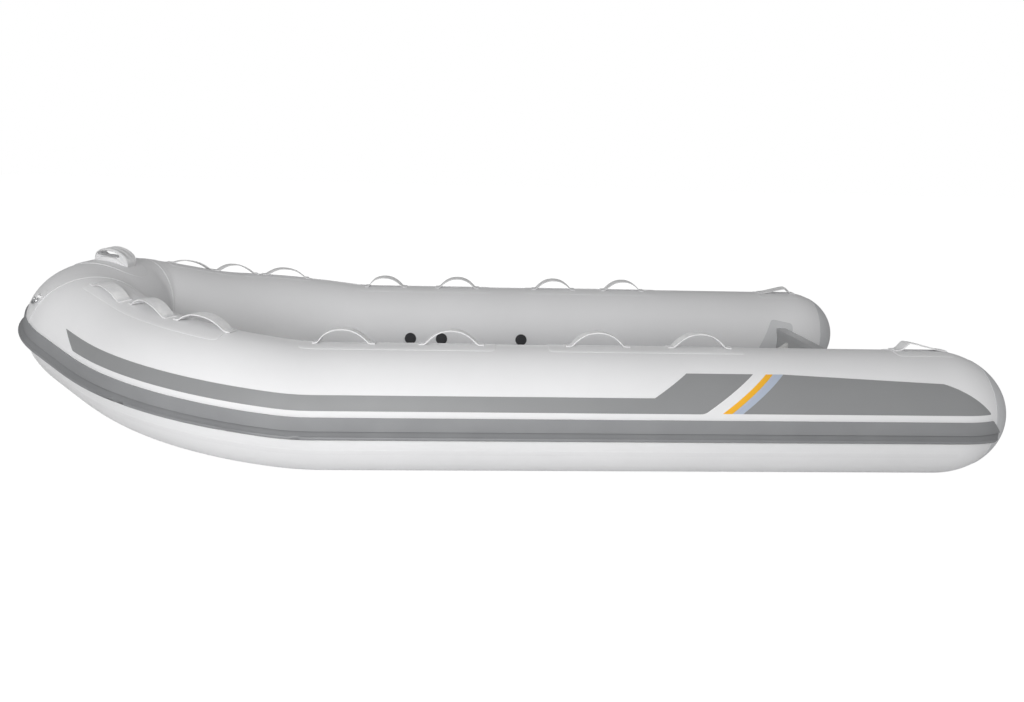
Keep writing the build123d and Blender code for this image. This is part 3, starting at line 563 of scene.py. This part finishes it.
dome_places = [-DOME_ARC * (1 - POLE_SHARE) * (1 - k / DOME_STEPS) for k in range(DOME_STEPS)]
side_places = dome_places + spaced(0, FOLDS_FROM, PLAIN_STEP)[:-1] + spaced(FOLDS_FROM, SEAM_NOSE, FOLD_STEP)
for side, name in SIDES:
    tube_skin(name + "_tube_skin", side_places, side,
              name + "_side_tube", name + "_bow_tube", name + "_stern_dome")
nose_places = spaced(SEAM_NOSE, 2 * AXIS_LENGTH - SEAM_NOSE, NOSE_STEP)
tube_skin("nose_tube_skin", nose_places, 1, "bow_nose_tube")
print("rings a side", len(side_places), "and at the nose", len(nose_places))

# %% [markdown]
# ## Glued strips
# Every loop stands on a strip of the same cloth, glued down with rounded corners. A narrower strip covers
# the long seam of the cloth below the strake. The edges are cut, not hemmed, so they are thin and crisp.
# A flat sheet could be wrapped onto the tube, but here its points are laid there from the start.

# %% Glued cloth
CUT_EDGE = 0.35  # share of the thickness at which the edge begins to slope
SINK = -0.0008  # lift of the underside
UNDERSIDE = (1, 0.5, 0, -0.5, -1)  # where its points lie, in shares of the half width
CORNER_STEPS = 6
STRIP_COLUMNS = 18
STRIP_STEP = 0.02


def shares_across(count):
    """Shares of a half width, from edge to edge."""
    return [-1 + 2 * k / count for k in range(count + 1)]


def cloth_section(columns, top, thick):
    """Shares of the half width, and lifts, over the cloth and back under it."""
    lifts = [CUT_EDGE * thick] + [top] * (len(columns) - 2) + [CUT_EDGE * thick]
    return list(zip(columns, lifts)) + [(share, SINK) for share in UNDERSIDE]


def glued_strip(name, begin, end, centre, half, thick, corner, side, *nodes):
    """Cloth with rounded corners between two places. Its centre and half width are degrees."""
    rounding = [corner * (1 - cos(pi / 2 * k / CORNER_STEPS)) for k in range(CORNER_STEPS)]
    middle = spaced(begin + corner, end - corner, STRIP_STEP)
    places = [begin + r for r in rounding] + middle + [end - r for r in reversed(rounding)]
    columns = shares_across(STRIP_COLUMNS)
    rings = []
    for place in places:
        room = min(place - begin, end - place, corner)
        lost = corner - sqrt(max(corner ** 2 - (corner - room) ** 2, 0.0))
        reach = half - degrees(lost / TUBE_R)
        top = thick * (CUT_EDGE if room < 1e-9 else 1.0)
        rings.append([skin(place, centre + reach * share, lift, side)
                      for share, lift in cloth_section(columns, top, thick)])
    across = [radians(centre + half * share) * TUBE_R for share in (*columns, *UNDERSIDE, columns[0])]
    piece = swept(name, rings, places, across, sharp=25)
    return part_of_boat(piece, TAPE_FABRIC, "coated_fabric_light", *nodes)


print("points round a strip", len(cloth_section(shares_across(STRIP_COLUMNS), 0, 0)))

# %% Strips
STRIP_THICK = 0.002
STRIP_HALF = degrees(0.070 / TUBE_R)
STRIP_CORNER, STERN_CORNER = 0.018, 0.012
LOOP_STRIPS = (  # begin, end, centre angle
    (0.738, 1.445, 94.0), (1.635, 2.347, 94.0), (AXIS_LENGTH - 1.061, AXIS_LENGTH - 0.324, 84.0))
STERN_STRIP = (-0.040, 0.172, 94.0)
BELLY_SEAM = (0.0, SEAM_NOSE - 0.02, -25.45)
SEAM_HALF = 2.85  # degrees
SEAM_THICK, SEAM_CORNER = 0.0008, 0.004

for side, name in SIDES:
    for strip in LOOP_STRIPS:
        label = f"{name}_loop_strip_{round(strip[0] * 100)}"
        glued_strip(label, *strip, STRIP_HALF, STRIP_THICK, STRIP_CORNER, side, name + "_loop_strips")
    glued_strip(name + "_stern_loop_strip", *STERN_STRIP, STRIP_HALF, STRIP_THICK, STERN_CORNER, side,
                "stern_loop_strips")
    glued_strip(name + "_belly_seam_strip", *BELLY_SEAM, SEAM_HALF, SEAM_THICK, SEAM_CORNER, side)
print("strips", 2 * (len(LOOP_STRIPS) + 2))

# %% [markdown]
# ## Hand loops
# Each loop is one length of webbing whose ends lie flat on the strip, stitched and glued. Between them the
# stiff webbing stands in an even arch. The loop at the stern is slack, so it peaks near one of its feet.
# The three at the bow are lower and lean outboard. A curve with a flat bevel would stay level across, so
# each section is laid on the round tube point by point.

# %% A loop's line
WEB_WIDE = 0.050
WEB_THICK = 0.0042
FOOT_LONG = 0.022
LINE_STEP = 0.0035
FOOT_CURVE = 0.004  # height over which a loop leaves its feet
ARCH_POWER = 2.3  # two is a parabola, and more is flatter on top
SLACK_PEAK = 0.045  # from the middle


def arch(x, half, high):
    """Height of an even loop's middle line, with smooth feet."""
    rise = high * (1 - (abs(x) / half) ** ARCH_POWER)
    return (rise + hypot(rise, FOOT_CURVE)) / 2


def slack_arch(x, half, high):
    """Height of a slack loop's middle line: nearly straight sides and a rounded peak."""
    reach = half - SLACK_PEAK if x > SLACK_PEAK else half + SLACK_PEAK
    rise = high * (1 - abs(x - SLACK_PEAK) / reach)
    rise = high - hypot(high - rise, FOOT_CURVE)
    return (rise + hypot(rise, FOOT_CURVE)) / 2


def strap_line(shape, half, high):
    """Middle line of a strap as (x, height) from foot to foot, over the strip."""
    xs = spaced(-half - FOOT_LONG, half + FOOT_LONG, LINE_STEP)
    return [(x, WEB_THICK / 2 + shape(x, half, high - WEB_THICK)) for x in xs]


print("points on a loop's line", len(strap_line(arch, 0.094, 0.054)))

# %% Loops
LOWER_FACE = (  # half of the strap's section, in shares of its width and thickness
    (-0.5, -0.25), (-0.485, -0.5), (-0.25, -0.5), (0, -0.5), (0.25, -0.5), (0.485, -0.5), (0.5, -0.25))
SELVEDGE = LOWER_FACE + tuple((-x, -y) for x, y in LOWER_FACE)
HAND_LOOPS = (  # group, place on the port tube and on the starboard tube, angle, span, height
    ("aft", 0.892, 0.917, 94, 0.188, 0.054), ("aft", 1.265, 1.292, 94, 0.188, 0.054),
    ("middle", 1.793, 1.807, 94, 0.188, 0.054), ("middle", 2.179, 2.192, 94, 0.188, 0.054),
    ("bow", AXIS_LENGTH - 0.958, AXIS_LENGTH - 0.930, 88, 0.190, 0.042),
    ("bow", AXIS_LENGTH - 0.697, AXIS_LENGTH - 0.670, 85, 0.200, 0.043),
    ("bow", AXIS_LENGTH - 0.438, AXIS_LENGTH - 0.438, 80, 0.164, 0.027),
)
STERN_LOOP = (0.066, 94, 0.150, 0.036)  # place, angle, span, height


def strap(name, place, angle, side, line, node):
    """Webbing along a line that stands on the tube. Its width follows the tube's curve."""
    rings, along, run = [], [], 0.0
    for i, (x, height) in enumerate(line):
        before, after = line[max(i - 1, 0)], line[min(i + 1, len(line) - 1)]
        slope = atan2(after[1] - before[1], after[0] - before[0])
        run += hypot(x - before[0], height - before[1])
        along.append(run)
        ring = []
        for width_share, thick_share in SELVEDGE:
            depth = thick_share * WEB_THICK
            ring.append(skin(place + x - depth * sin(slope), angle + degrees(width_share * WEB_WIDE / TUBE_R),
                             STRIP_THICK + height + depth * cos(slope), side))
        rings.append(ring)
    across = [share * WEB_WIDE for share, _ in (*SELVEDGE, SELVEDGE[0])]
    return part_of_boat(swept(name, rings, along, across, sharp=50), STRAP_WEBBING, "webbing_light", node)


def loops_of(side):
    """Name, place, angle, half span and middle line of every loop on one tube."""
    loops = []
    for number, (group, to_port, to_starboard, angle, loop_span, high) in enumerate(HAND_LOOPS):
        loops.append((f"{group}_webbing_{number + 1}", to_port if side > 0 else to_starboard, angle,
                      loop_span / 2, strap_line(arch, loop_span / 2, high)))
    place, angle, loop_span, high = STERN_LOOP
    line = strap_line(slack_arch, loop_span / 2, high)
    if side < 0:  # to starboard the loop's peak lies aft
        line = [(-x, height) for x, height in reversed(line)]
    loops.append(("stern_webbing", place, angle, loop_span / 2, line))
    return loops


def node_of(name, loop):
    """The solid that a loop stands for."""
    return f"{name}_stern_loop" if loop.startswith("stern") else f"{name}_{loop.split('_')[0]}_hand_loops"


for side, name in SIDES:
    for loop, place, angle, half, line in loops_of(side):
        strap(f"{name}_{loop}", place, angle, side, line, node_of(name, loop))
print("loops", 2 * len(loops_of(1)))

# %% [markdown]
# ## The handle on the nose
# The carrying handle is one rubber moulding: a low block with a finger hole right through it and a grip
# with three ribs over the hole. A Boolean could cut the hole, but it would leave long thin faces. So the
# body is a closed ring of sections round a real hole.

# %% Nose handle
HANDLE_TURN = 89.0  # angle of its middle round the tube
HANDLE_OUTLINE = (  # from the fore foot over the grip to the aft foot: metres round the tube and over it
    (-0.075, 0.000), (-0.071, 0.012), (-0.064, 0.024), (-0.054, 0.035), (-0.041, 0.044), (-0.026, 0.0500),
    (-0.008, 0.0525), (0.011, 0.0512), (0.027, 0.0470), (0.041, 0.0405), (0.053, 0.0310), (0.062, 0.0195),
    (0.067, 0.0080), (0.069, 0.000))
OUTLINE_FAR = 0.5  # further than any of its points
HOLE_CENTRE, HOLE_HALF = (-0.014, 0.0325), (0.040, 0.0135)
RING_STEPS = 96


def over_nose(along, around, lift, middle=HANDLE_TURN):
    """A point near the nose: metres to port, metres round the tube from the middle, metres over it."""
    return skin(AXIS_LENGTH - along, middle + degrees(around / TUBE_R), lift)


def outline_ray(turn):
    """Where a ray from the hole's middle leaves the handle, turned from straight down."""
    ahead, up = sin(turn), -cos(turn)
    points = [Vector(p) - Vector(HOLE_CENTRE) for p in HANDLE_OUTLINE]
    best = OUTLINE_FAR
    for first, last in zip(points, points[1:] + points[:1]):
        edge = last - first
        cross = ahead * edge.y - up * edge.x
        if abs(cross) > 1e-12:
            far = (first.x * edge.y - first.y * edge.x) / cross
            share = (first.x * up - first.y * ahead) / cross
            if far > 0 and -1e-6 <= share <= 1 + 1e-6:
                best = min(best, far)
    return ahead * best, up * best


print("grip's top", round(outline_ray(pi)[1] + HOLE_CENTRE[1], 4), "m over the tube")

# %% Handle sections
HANDLE_HALF_WIDE = 0.049
PLAN_HALF_LONG, PLAN_POWER, PLAN_LEAST = 0.083, 5, 0.05  # how the handle narrows to its rounded ends
WALL_SHARE, FACE_SHARE = 0.90, 0.88  # shares of the width that the wall and the outer face take up
EDGE_ROUNDING = ((0.955, 0.06), (0.99, 0.22), (1.0, 0.5), (0.99, 0.80), (0.95, 0.95))  # width, way out
WALL_STEPS, FACE_STEPS = 10, 44
GRIP_RIBS = (-0.76, 0.0, 0.76)
RIB_TALL, RIB_REACH, RIB_POWER = 0.0052, 0.19, 4
GRIP_FROM, GRIP_FADE = 0.018, 0.02  # height at which the ribs begin, and over which they grow
GRIP_BELLY, SILL_CROWN = 0.007, 0.003  # how far grip and sill swell into the finger hole
HANDLE_UV_STEP = 0.004


def handle_ring(turn):
    """One section of the moulding, from the hole's wall over its outer face and back."""
    hole = (HOLE_HALF[0] * sin(turn), -HOLE_HALF[1] * cos(turn))
    outer = outline_ray(atan2(hole[0], -hole[1]))
    plan = abs((outer[0] + HOLE_CENTRE[0]) / PLAN_HALF_LONG) ** PLAN_POWER
    wide = HANDLE_HALF_WIDE * sqrt(max(PLAN_LEAST, 1 - plan))
    grip = max(0.0, min(1.0, (outer[1] + HOLE_CENTRE[1] - GRIP_FROM) / GRIP_FADE))
    belly = GRIP_BELLY if hole[1] > 0 else SILL_CROWN

    def between(share, out):
        """On the way from the hole's wall to the outer face."""
        return wide * share, hole[0] + (outer[0] - hole[0]) * out, hole[1] + (outer[1] - hole[1]) * out

    ring = []
    for share in shares_across(WALL_STEPS):
        swell = belly * (1 - share ** 2)
        ring.append((wide * WALL_SHARE * share, hole[0], hole[1] * (1 - swell / HOLE_HALF[1])))
    ring += [between(share, out) for share, out in EDGE_ROUNDING]
    length = hypot(outer[0], outer[1])
    for k in range(FACE_STEPS + 1):
        share = FACE_SHARE - 2 * FACE_SHARE * k / FACE_STEPS
        rib = sum(exp(-((share - middle) / RIB_REACH) ** RIB_POWER) for middle in GRIP_RIBS)
        swell = 1 + RIB_TALL * rib * grip / length
        ring.append((wide * share, outer[0] * swell, outer[1] * swell))
    ring += [between(-share, out) for share, out in reversed(EDGE_ROUNDING)]
    return [over_nose(y, HOLE_CENTRE[0] + x, max(HOLE_CENTRE[1] + z, 0.0)) for y, x, z in ring]


rings = [handle_ring(2 * pi * k / RING_STEPS) for k in range(RING_STEPS)]
handle_metres = [HANDLE_UV_STEP * k for k in range(RING_STEPS + 1)]
handle = swept("nose_handle_moulding", rings, handle_metres, handle_metres, sharp=50, joined=True)
part_of_boat(handle, HANDLE_RUBBER, "rubber_grey", "nose_handle")
print("nose handle", RING_STEPS, "sections")

# %% [markdown]
# ## The patch under the handle
# The oval patch spreads the handle's pull over the cloth. It could be cut from a plane, but rows whose
# width follows a superellipse give it the strips' thickness and cut edge at once.

# %% Nose patch
PATCH_REACH, PATCH_ROUND = 0.098, 0.152  # half its reach along the tube and round it
PATCH_THICK = 0.002
PATCH_TURN = 85
PATCH_POWER = 2.6  # two is an ellipse, and more is fuller
PATCH_ROWS, PATCH_COLUMNS = 40, 24

columns = shares_across(PATCH_COLUMNS)
patch_places = [PATCH_REACH * cos(pi * k / PATCH_ROWS) for k in range(1, PATCH_ROWS)]
rings = []
for along in patch_places:
    half = PATCH_ROUND * (1 - abs(along / PATCH_REACH) ** PATCH_POWER) ** (1 / PATCH_POWER)
    at_end = along in (patch_places[0], patch_places[-1])
    section = cloth_section(columns, PATCH_THICK * (CUT_EDGE if at_end else 1.0), PATCH_THICK)
    rings.append([over_nose(along, half * share, lift, PATCH_TURN) for share, lift in section])
patch = swept("nose_handle_patch", rings, [PATCH_REACH - along for along in patch_places],
              [PATCH_ROUND * share for share in (*columns, *UNDERSIDE, columns[0])], sharp=25)
part_of_boat(patch, TAPE_FABRIC, "coated_fabric_light", "nose_handle_strip")
print("nose patch", 2 * PATCH_REACH, "by", 2 * PATCH_ROUND, "m")

# %% [markdown]
# ## Repeated details by Geometry Nodes
# Stitches, screw heads, grip studs and non-slip pips are the same small shape many times over. A Python
# loop could copy them, but a tree has their spacing and size as inputs with names. Each tree's result is
# turned into a plain mesh at once.

# %% Geometry Nodes helpers


def new_group(name, **inputs):
    """A geometry tree with named number inputs, and what it is given."""
    group = bpy.data.node_groups.new(name, "GeometryNodeTree")
    group.interface.new_socket("Geometry", in_out="OUTPUT", socket_type="NodeSocketGeometry")
    group.interface.new_socket("Geometry", in_out="INPUT", socket_type="NodeSocketGeometry")
    for label, value in inputs.items():
        socket = group.interface.new_socket(label, in_out="INPUT", socket_type="NodeSocketFloat")
        socket.default_value = value
    return group, add(group, "NodeGroupInput").outputs


def cut_cone(group, given, top_share, corners):
    """A low cone with its tip cut off, of the tree's own Radius and Tall."""
    top = sums(group, "MULTIPLY", given["Radius"], top_share)
    sizes = {"Radius Bottom": given["Radius"], "Radius Top": top, "Depth": given["Tall"]}
    return add(group, "GeometryNodeMeshCone", sizes, Vertices=corners).outputs["Mesh"]


def closed_group(group, instances, material):
    """Ends a tree: real meshes, one material."""
    real = add(group, "GeometryNodeRealizeInstances", {"Geometry": instances})
    dressed = add(group, "GeometryNodeSetMaterial", {"Geometry": real.outputs[0]}, Material=material)
    add(group, "NodeGroupOutput", {"Geometry": dressed.outputs[0]})
    return group


def grown(name, points, edges, group, slot, normals=(), **sizes):
    """Runs a tree on points and edges, keeps its result as a plain mesh and ties it to the boat."""
    mesh = bpy.data.meshes.new(name + "_lines")
    mesh.from_pydata(points, edges, [])
    if normals:
        outward = mesh.attributes.new("outward", "FLOAT_VECTOR", "POINT")
        outward.data.foreach_set("vector", [value for normal in normals for value in normal])
    seed = new_object(name + "_lines", mesh)
    modifier = seed.modifiers.new("repeat", "NODES")
    modifier.node_group = group
    for item in group.interface.items_tree:
        if item.in_out == "INPUT" and item.name in sizes:
            modifier[item.identifier] = sizes[item.name]
    result = bpy.data.meshes.new_from_object(seed.evaluated_get(bpy.context.evaluated_depsgraph_get()))
    seed.modifiers.clear()
    bpy.data.objects.remove(seed)
    piece = new_object(name, result)
    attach(piece, "root")
    print(name, len(result.polygons), "faces")
    return piece


print("trees so far", len(bpy.data.node_groups))

# %% [markdown]
# ## Beads along lines
# Stitches and grip studs are both small beads in a row. The tree turns edges into curves, sets points on
# them and puts a long small sphere on each. An array could too, but with a curve object for every seam.

# %% Beads along lines


def bead_group(name, material):
    """Long small beads, evenly along every line."""
    group, given = new_group(name, Spacing=0.004, Long=0.0028, Thick=0.0009)
    curve = add(group, "GeometryNodeMeshToCurve", {"Mesh": given["Geometry"]})
    dots = add(group, "GeometryNodeCurveToPoints", {"Curve": curve.outputs[0], "Length": given["Spacing"]},
               mode="LENGTH")
    bead = add(group, "GeometryNodeMeshUVSphere", Segments=6, Rings=4, Radius=0.5)
    size = add(group, "ShaderNodeCombineXYZ",
               {"X": given["Thick"], "Y": given["Thick"], "Z": given["Long"]})
    placed = add(group, "GeometryNodeInstanceOnPoints", {
        "Points": dots.outputs["Points"], "Instance": bead.outputs["Mesh"],
        "Rotation": dots.outputs["Rotation"], "Scale": size.outputs[0]})
    return closed_group(group, placed.outputs[0], material)


def as_edges(polylines):
    """Points and edges of one mesh that holds all the lines."""
    points, edges = [], []
    for polyline in polylines:
        first = len(points)
        points += polyline
        edges += [(first + k, first + k + 1) for k in range(len(polyline) - 1)]
    return points, edges


THREAD = coated_fabric("bonded sewing thread", "#D4D5D8", "#C6C7CB", 0.6)
stitch_group = bead_group("stitches along a seam", THREAD)
print("tree", stitch_group.name)

# %% [markdown]
# ## Stitches on the loops' feet
# Each foot is sewn with a box and a cross, so the pull spreads over all of it. A texture would look flat
# close by, so the thread is real and follows the strap's upper face.

# %% Loop stitches
BOX_NEAR, BOX_FAR, BOX_EDGE = 0.003, 0.004, 0.005  # how far inside the foot its box lies
SEAM_STEP = 0.006
THREAD_LIFT = 0.0001


def on_strap(place, angle, side, line, x, across):
    """A point on the upper face of a strap, this far across it."""
    height = min(line, key=lambda point: abs(point[0] - x))[1]
    lift = STRIP_THICK + height + WEB_THICK / 2 + THREAD_LIFT
    return skin(place + x, angle + degrees(across / TUBE_R), lift, side)


def foot_seams(place, angle, side, half, line):
    """Box and cross of stitching on both feet of a loop."""
    polylines = []
    for end in (-1, 1):
        near_x, far_x = end * (half + BOX_NEAR), end * (half + FOOT_LONG - BOX_FAR)
        low, high = -WEB_WIDE / 2 + BOX_EDGE, WEB_WIDE / 2 - BOX_EDGE
        corners = ((near_x, low), (far_x, low), (far_x, high), (near_x, high), (near_x, low))
        cross = [(corners[0], corners[2]), (corners[1], corners[3])]
        for (x1, y1), (x2, y2) in list(zip(corners, corners[1:])) + cross:
            steps = max(2, round(hypot(x2 - x1, y2 - y1) / SEAM_STEP))
            seam = [(x1 + (x2 - x1) * k / steps, y1 + (y2 - y1) * k / steps) for k in range(steps + 1)]
            polylines.append([on_strap(place, angle, side, line, x, across) for x, across in seam])
    return polylines


for side, name in SIDES:
    seams = []
    for loop, place, angle, half, line in loops_of(side):
        seams += foot_seams(place, angle, side, half, line)
    points, edges = as_edges(seams)
    grown(name + "_loop_stitches", points, edges, stitch_group, "webbing_light",
          Spacing=0.0045, Long=0.0034, Thick=0.0011)

# %% [markdown]
# ## Studs round the valve caps
# A valve has a studded cap that wet hands can turn, with one circle of studs round its rim and one on its
# face. They could be in the solid, but the tree for stitches sets them too, with thicker beads.

# %% Studs round the valve caps
VALVES = (1.471, 1.882, 2.041)
VALVE_ANGLE = 181.0
CAP_OUT = 0.010
RIM_STUDS_R, FACE_STUDS_R = 0.020, 0.012
RIM_DOWN = 0.0035  # from the cap's face down to the studs round its rim
CIRCLE_STEPS = 48
PROBE_OUT, PROBE_AHEAD = 0.1, 0.01  # to a second point, which gives a direction


def valve_ring(place, side, radius, out):
    """A closed circle round a valve, this far out of the tube's skin."""
    centre = skin(place, VALVE_ANGLE, 0, side)
    outward = (skin(place, VALVE_ANGLE, PROBE_OUT, side) - centre).normalized()
    ahead = (skin(place + PROBE_AHEAD, VALVE_ANGLE, 0, side) - centre).normalized()
    up = outward.cross(ahead).normalized()
    ahead = up.cross(outward)
    turns = [2 * pi * k / CIRCLE_STEPS for k in range(CIRCLE_STEPS + 1)]
    return [centre + outward * out + (ahead * cos(turn) + up * sin(turn)) * radius for turn in turns]


stud_group = bead_group("studs round a cap", DARK_POLYMER)
circles = []
for radius, out in ((RIM_STUDS_R, CAP_OUT - RIM_DOWN), (FACE_STUDS_R, CAP_OUT)):
    circles += [valve_ring(place, side, radius, out) for place in VALVES for side in (1, -1)]
points, edges = as_edges(circles)
grown("valve_cap_studs", points, edges, stud_group, "black_plastic",
      Spacing=0.0052, Long=0.0026, Thick=0.0042)

# %% [markdown]
# ## Screw heads on the fittings
# Eyes, drains and motor pads are held by stainless screws. Their heads could be turned by hand, but here
# every point carries its head's direction, as an attribute that the tree reads.

# %% Screw heads on the fittings
HEAD_TOP, HEAD_CORNERS = 0.62, 14  # width of the top against the bottom's, and corners
TRANSOM_FACE, PAD_AFT_FACE, PAD_FORE_FACE = -1.599, -1.603, -1.545
EYE_Y, EYE_Z, EYE_SCREW = 0.400, 0.150, 0.022  # the last is from the middle to a screw
DRAIN_Y, DRAIN_Z, DRAIN_SCREW = 0.210, 0.138, 0.0205
DRAIN_TURNS = (pi / 2, pi * 7 / 6, pi * 11 / 6)
PAD_Z, PAD_SCREW_Y, PAD_SCREW_Z = 0.224, 0.128, 0.073
AFT, FORE = (-1, 0, 0), (1, 0, 0)


def screw_group():
    """A low round head on every point, along its outward direction."""
    group, given = new_group("screw heads", Radius=0.0042, Tall=0.0016)
    outward = add(group, "GeometryNodeInputNamedAttribute", data_type="FLOAT_VECTOR", Name="outward")
    aim = add(group, "FunctionNodeAlignRotationToVector", {"Vector": outward.outputs["Attribute"]}, axis="Z")
    dots = add(group, "GeometryNodeMeshToPoints", {"Mesh": given["Geometry"]})
    placed = add(group, "GeometryNodeInstanceOnPoints", {
        "Points": dots.outputs["Points"], "Instance": cut_cone(group, given, HEAD_TOP, HEAD_CORNERS),
        "Rotation": aim.outputs["Rotation"]})
    return closed_group(group, placed.outputs[0], STEEL)


heads = []
for side in (1, -1):
    heads += [((TRANSOM_FACE, side * EYE_Y + dy, EYE_Z + dz), AFT)
              for dy in (-EYE_SCREW, EYE_SCREW) for dz in (-EYE_SCREW, EYE_SCREW)]
    heads += [((TRANSOM_FACE, side * DRAIN_Y + DRAIN_SCREW * cos(turn), DRAIN_Z + DRAIN_SCREW * sin(turn)),
               AFT) for turn in DRAIN_TURNS]
for face, normal in ((PAD_AFT_FACE, AFT), (PAD_FORE_FACE, FORE)):
    heads += [((face, y, PAD_Z + z), normal)
              for y in (-PAD_SCREW_Y, PAD_SCREW_Y) for z in (-PAD_SCREW_Z, PAD_SCREW_Z)]
grown("fitting_screws", [point for point, _ in heads], [], screw_group(), "steel",
      normals=[normal for _, normal in heads])

# %% [markdown]
# ## Pips on the deck
# The non-slip field is moulded with low round pips in staggered rows. A bump texture could fake them, but
# real ones catch the light at their edges. The tree lays a grid, shifts every second row and fills it.

# %% Non-slip pips
PIP_TOP, PIP_CORNERS = 0.55, 10
FIELD_MARGINS = (0.03, 0.044)  # how far the field stays inside its moulding, in all


def pip_group():
    """Pips in staggered rows, over a field Long by Wide."""
    group, given = new_group("pips in a field", Long=1.98, Wide=0.88, Step=0.027, Radius=0.0062, Tall=0.0022)
    columns, rows = (sums(group, "ROUND", sums(group, "DIVIDE", given[size], given["Step"]), 0)
                     for size in ("Long", "Wide"))
    grid = add(group, "GeometryNodeMeshGrid", {
        "Size X": given["Long"], "Size Y": given["Wide"], "Vertices X": columns, "Vertices Y": rows})
    index = add(group, "GeometryNodeInputIndex").outputs[0]
    column = sums(group, "FLOOR", sums(group, "DIVIDE", index, rows), 0)
    to_and_fro = sums(group, "SUBTRACT", sums(group, "MODULO", column, 2.0), 0.5)
    shift = sums(group, "MULTIPLY", to_and_fro, sums(group, "MULTIPLY", given["Step"], 0.5))
    offset = add(group, "ShaderNodeCombineXYZ", {"Y": shift}).outputs[0]
    moved = add(group, "GeometryNodeSetPosition", {"Geometry": grid.outputs["Mesh"], "Offset": offset})
    dots = add(group, "GeometryNodeMeshToPoints", {"Mesh": moved.outputs[0]})
    pip = cut_cone(group, given, PIP_TOP, PIP_CORNERS)
    placed = add(group, "GeometryNodeInstanceOnPoints", {"Points": dots.outputs["Points"], "Instance": pip})
    return closed_group(group, placed.outputs[0], NON_SLIP)


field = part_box("deck_non_slip")
low, high = Vector(field[0]), Vector(field[1])
pips = grown("deck_pips", [(0, 0, 0)], [], pip_group(), "non_slip_grey",
             Long=high.x - low.x - FIELD_MARGINS[0], Wide=high.y - low.y - FIELD_MARGINS[1])
middle = (low + high) / 2
pips.data.transform(Matrix.Translation((middle.x, middle.y, high.z)))
print("field", [round(v, 3) for v in (*low, *high)])

# %% [markdown]
# ## The floor
# The floor lies at the waterline, so the boat sits as deep as it floats. Matt paint alone would look grey,
# so it is mixed with plain white, which meets the backdrop without a line and still shows the shadow.

# %% Floor
FLOOR_HALF = 60.0
FLOOR_WHITE = 0.8  # share of plain white; the rest shows the boat's shadow
FLOOR_GLOW = 1.2
floor_mesh = bpy.data.meshes.new("floor")
floor_mesh.from_pydata([(x * FLOOR_HALF, y * FLOOR_HALF, 0) for x, y in ((-1, -1), (1, -1), (1, 1), (-1, 1))],
                       [], [(0, 1, 2, 3)])
floor = new_object("floor", floor_mesh)
floor_paint = bpy.data.materials.new("white studio floor")
tree = fresh_tree(floor_paint)
matt = add(tree, "ShaderNodeBsdfDiffuse", Color=linear("#F2F2F2"))
white = add(tree, "ShaderNodeEmission", Strength=FLOOR_GLOW)
rays = add(tree, "ShaderNodeLightPath")
seen = sums(tree, "MULTIPLY", rays.outputs["Is Camera Ray"], FLOOR_WHITE)
mixed = add(tree, "ShaderNodeMixShader", {"Fac": seen, 1: matt.outputs[0], 2: white.outputs[0]})
add(tree, "ShaderNodeOutputMaterial", {"Surface": mixed.outputs[0]})
give(floor, floor_paint)
print("floor", 2 * FLOOR_HALF, "m wide")

# %% [markdown]
# ## The white surroundings
# White surroundings fill the shadows. The camera sees them at full strength. The boat gets only part of
# their light, or it would lose the shading that shows its roundness.

# %% Surroundings
BACKDROP, FILL = 1.0, 0.27  # strengths to the camera and to the boat
world = bpy.data.worlds.new("studio")
scene.world = world
tree = fresh_tree(world)
rays = add(tree, "ShaderNodeLightPath")
dim = add(tree, "ShaderNodeBackground", Color=linear("#FFFFFF"), Strength=FILL)
bright = add(tree, "ShaderNodeBackground", Color=linear("#FFFFFF"), Strength=BACKDROP)
seen = sums(tree, "MAXIMUM", rays.outputs["Is Camera Ray"], rays.outputs["Is Transmission Ray"])
mixed = add(tree, "ShaderNodeMixShader", {"Fac": seen, 1: dim.outputs[0], 2: bright.outputs[0]})
add(tree, "ShaderNodeOutputWorld", {"Surface": mixed.outputs[0]})
print("surroundings", BACKDROP, FILL)

# %% [markdown]
# ## Lamps
# A small lamp would leave a hard glint on inflated cloth. Wide ones give it a broad highlight: one behind
# the camera, one overhead and one on the far side.

# %% Lamps
LAMPS = (  # name, place, target, wide, high, watts
    ("key", (1.05, 5.3, 1.9), (-0.1, 0.6, 0.3), 2.5, 2.0, 147),
    ("overhead fill", (0.5, 1.6, 4.5), (0, -0.4, 0.2), 5.0, 2.5, 17),
    ("far side fill", (0.0, -6.5, 0.9), (0, -0.6, 0.3), 5.0, 1.2, 90),
)


def soft_light(name, place, target, wide, high, watts):
    """A flat lamp that shines from its place towards its target."""
    data = bpy.data.lights.new(name, "AREA")
    data.shape, data.size, data.size_y, data.energy = "RECTANGLE", wide, high, watts
    lamp = new_object(name, data)
    aim = Vector(target) - Vector(place)
    lamp.matrix_world = Matrix.Translation(place) @ aim.to_track_quat("-Z", "Y").to_matrix().to_4x4()


for lamp in LAMPS:
    soft_light(*lamp)
print("lamps", len(LAMPS))
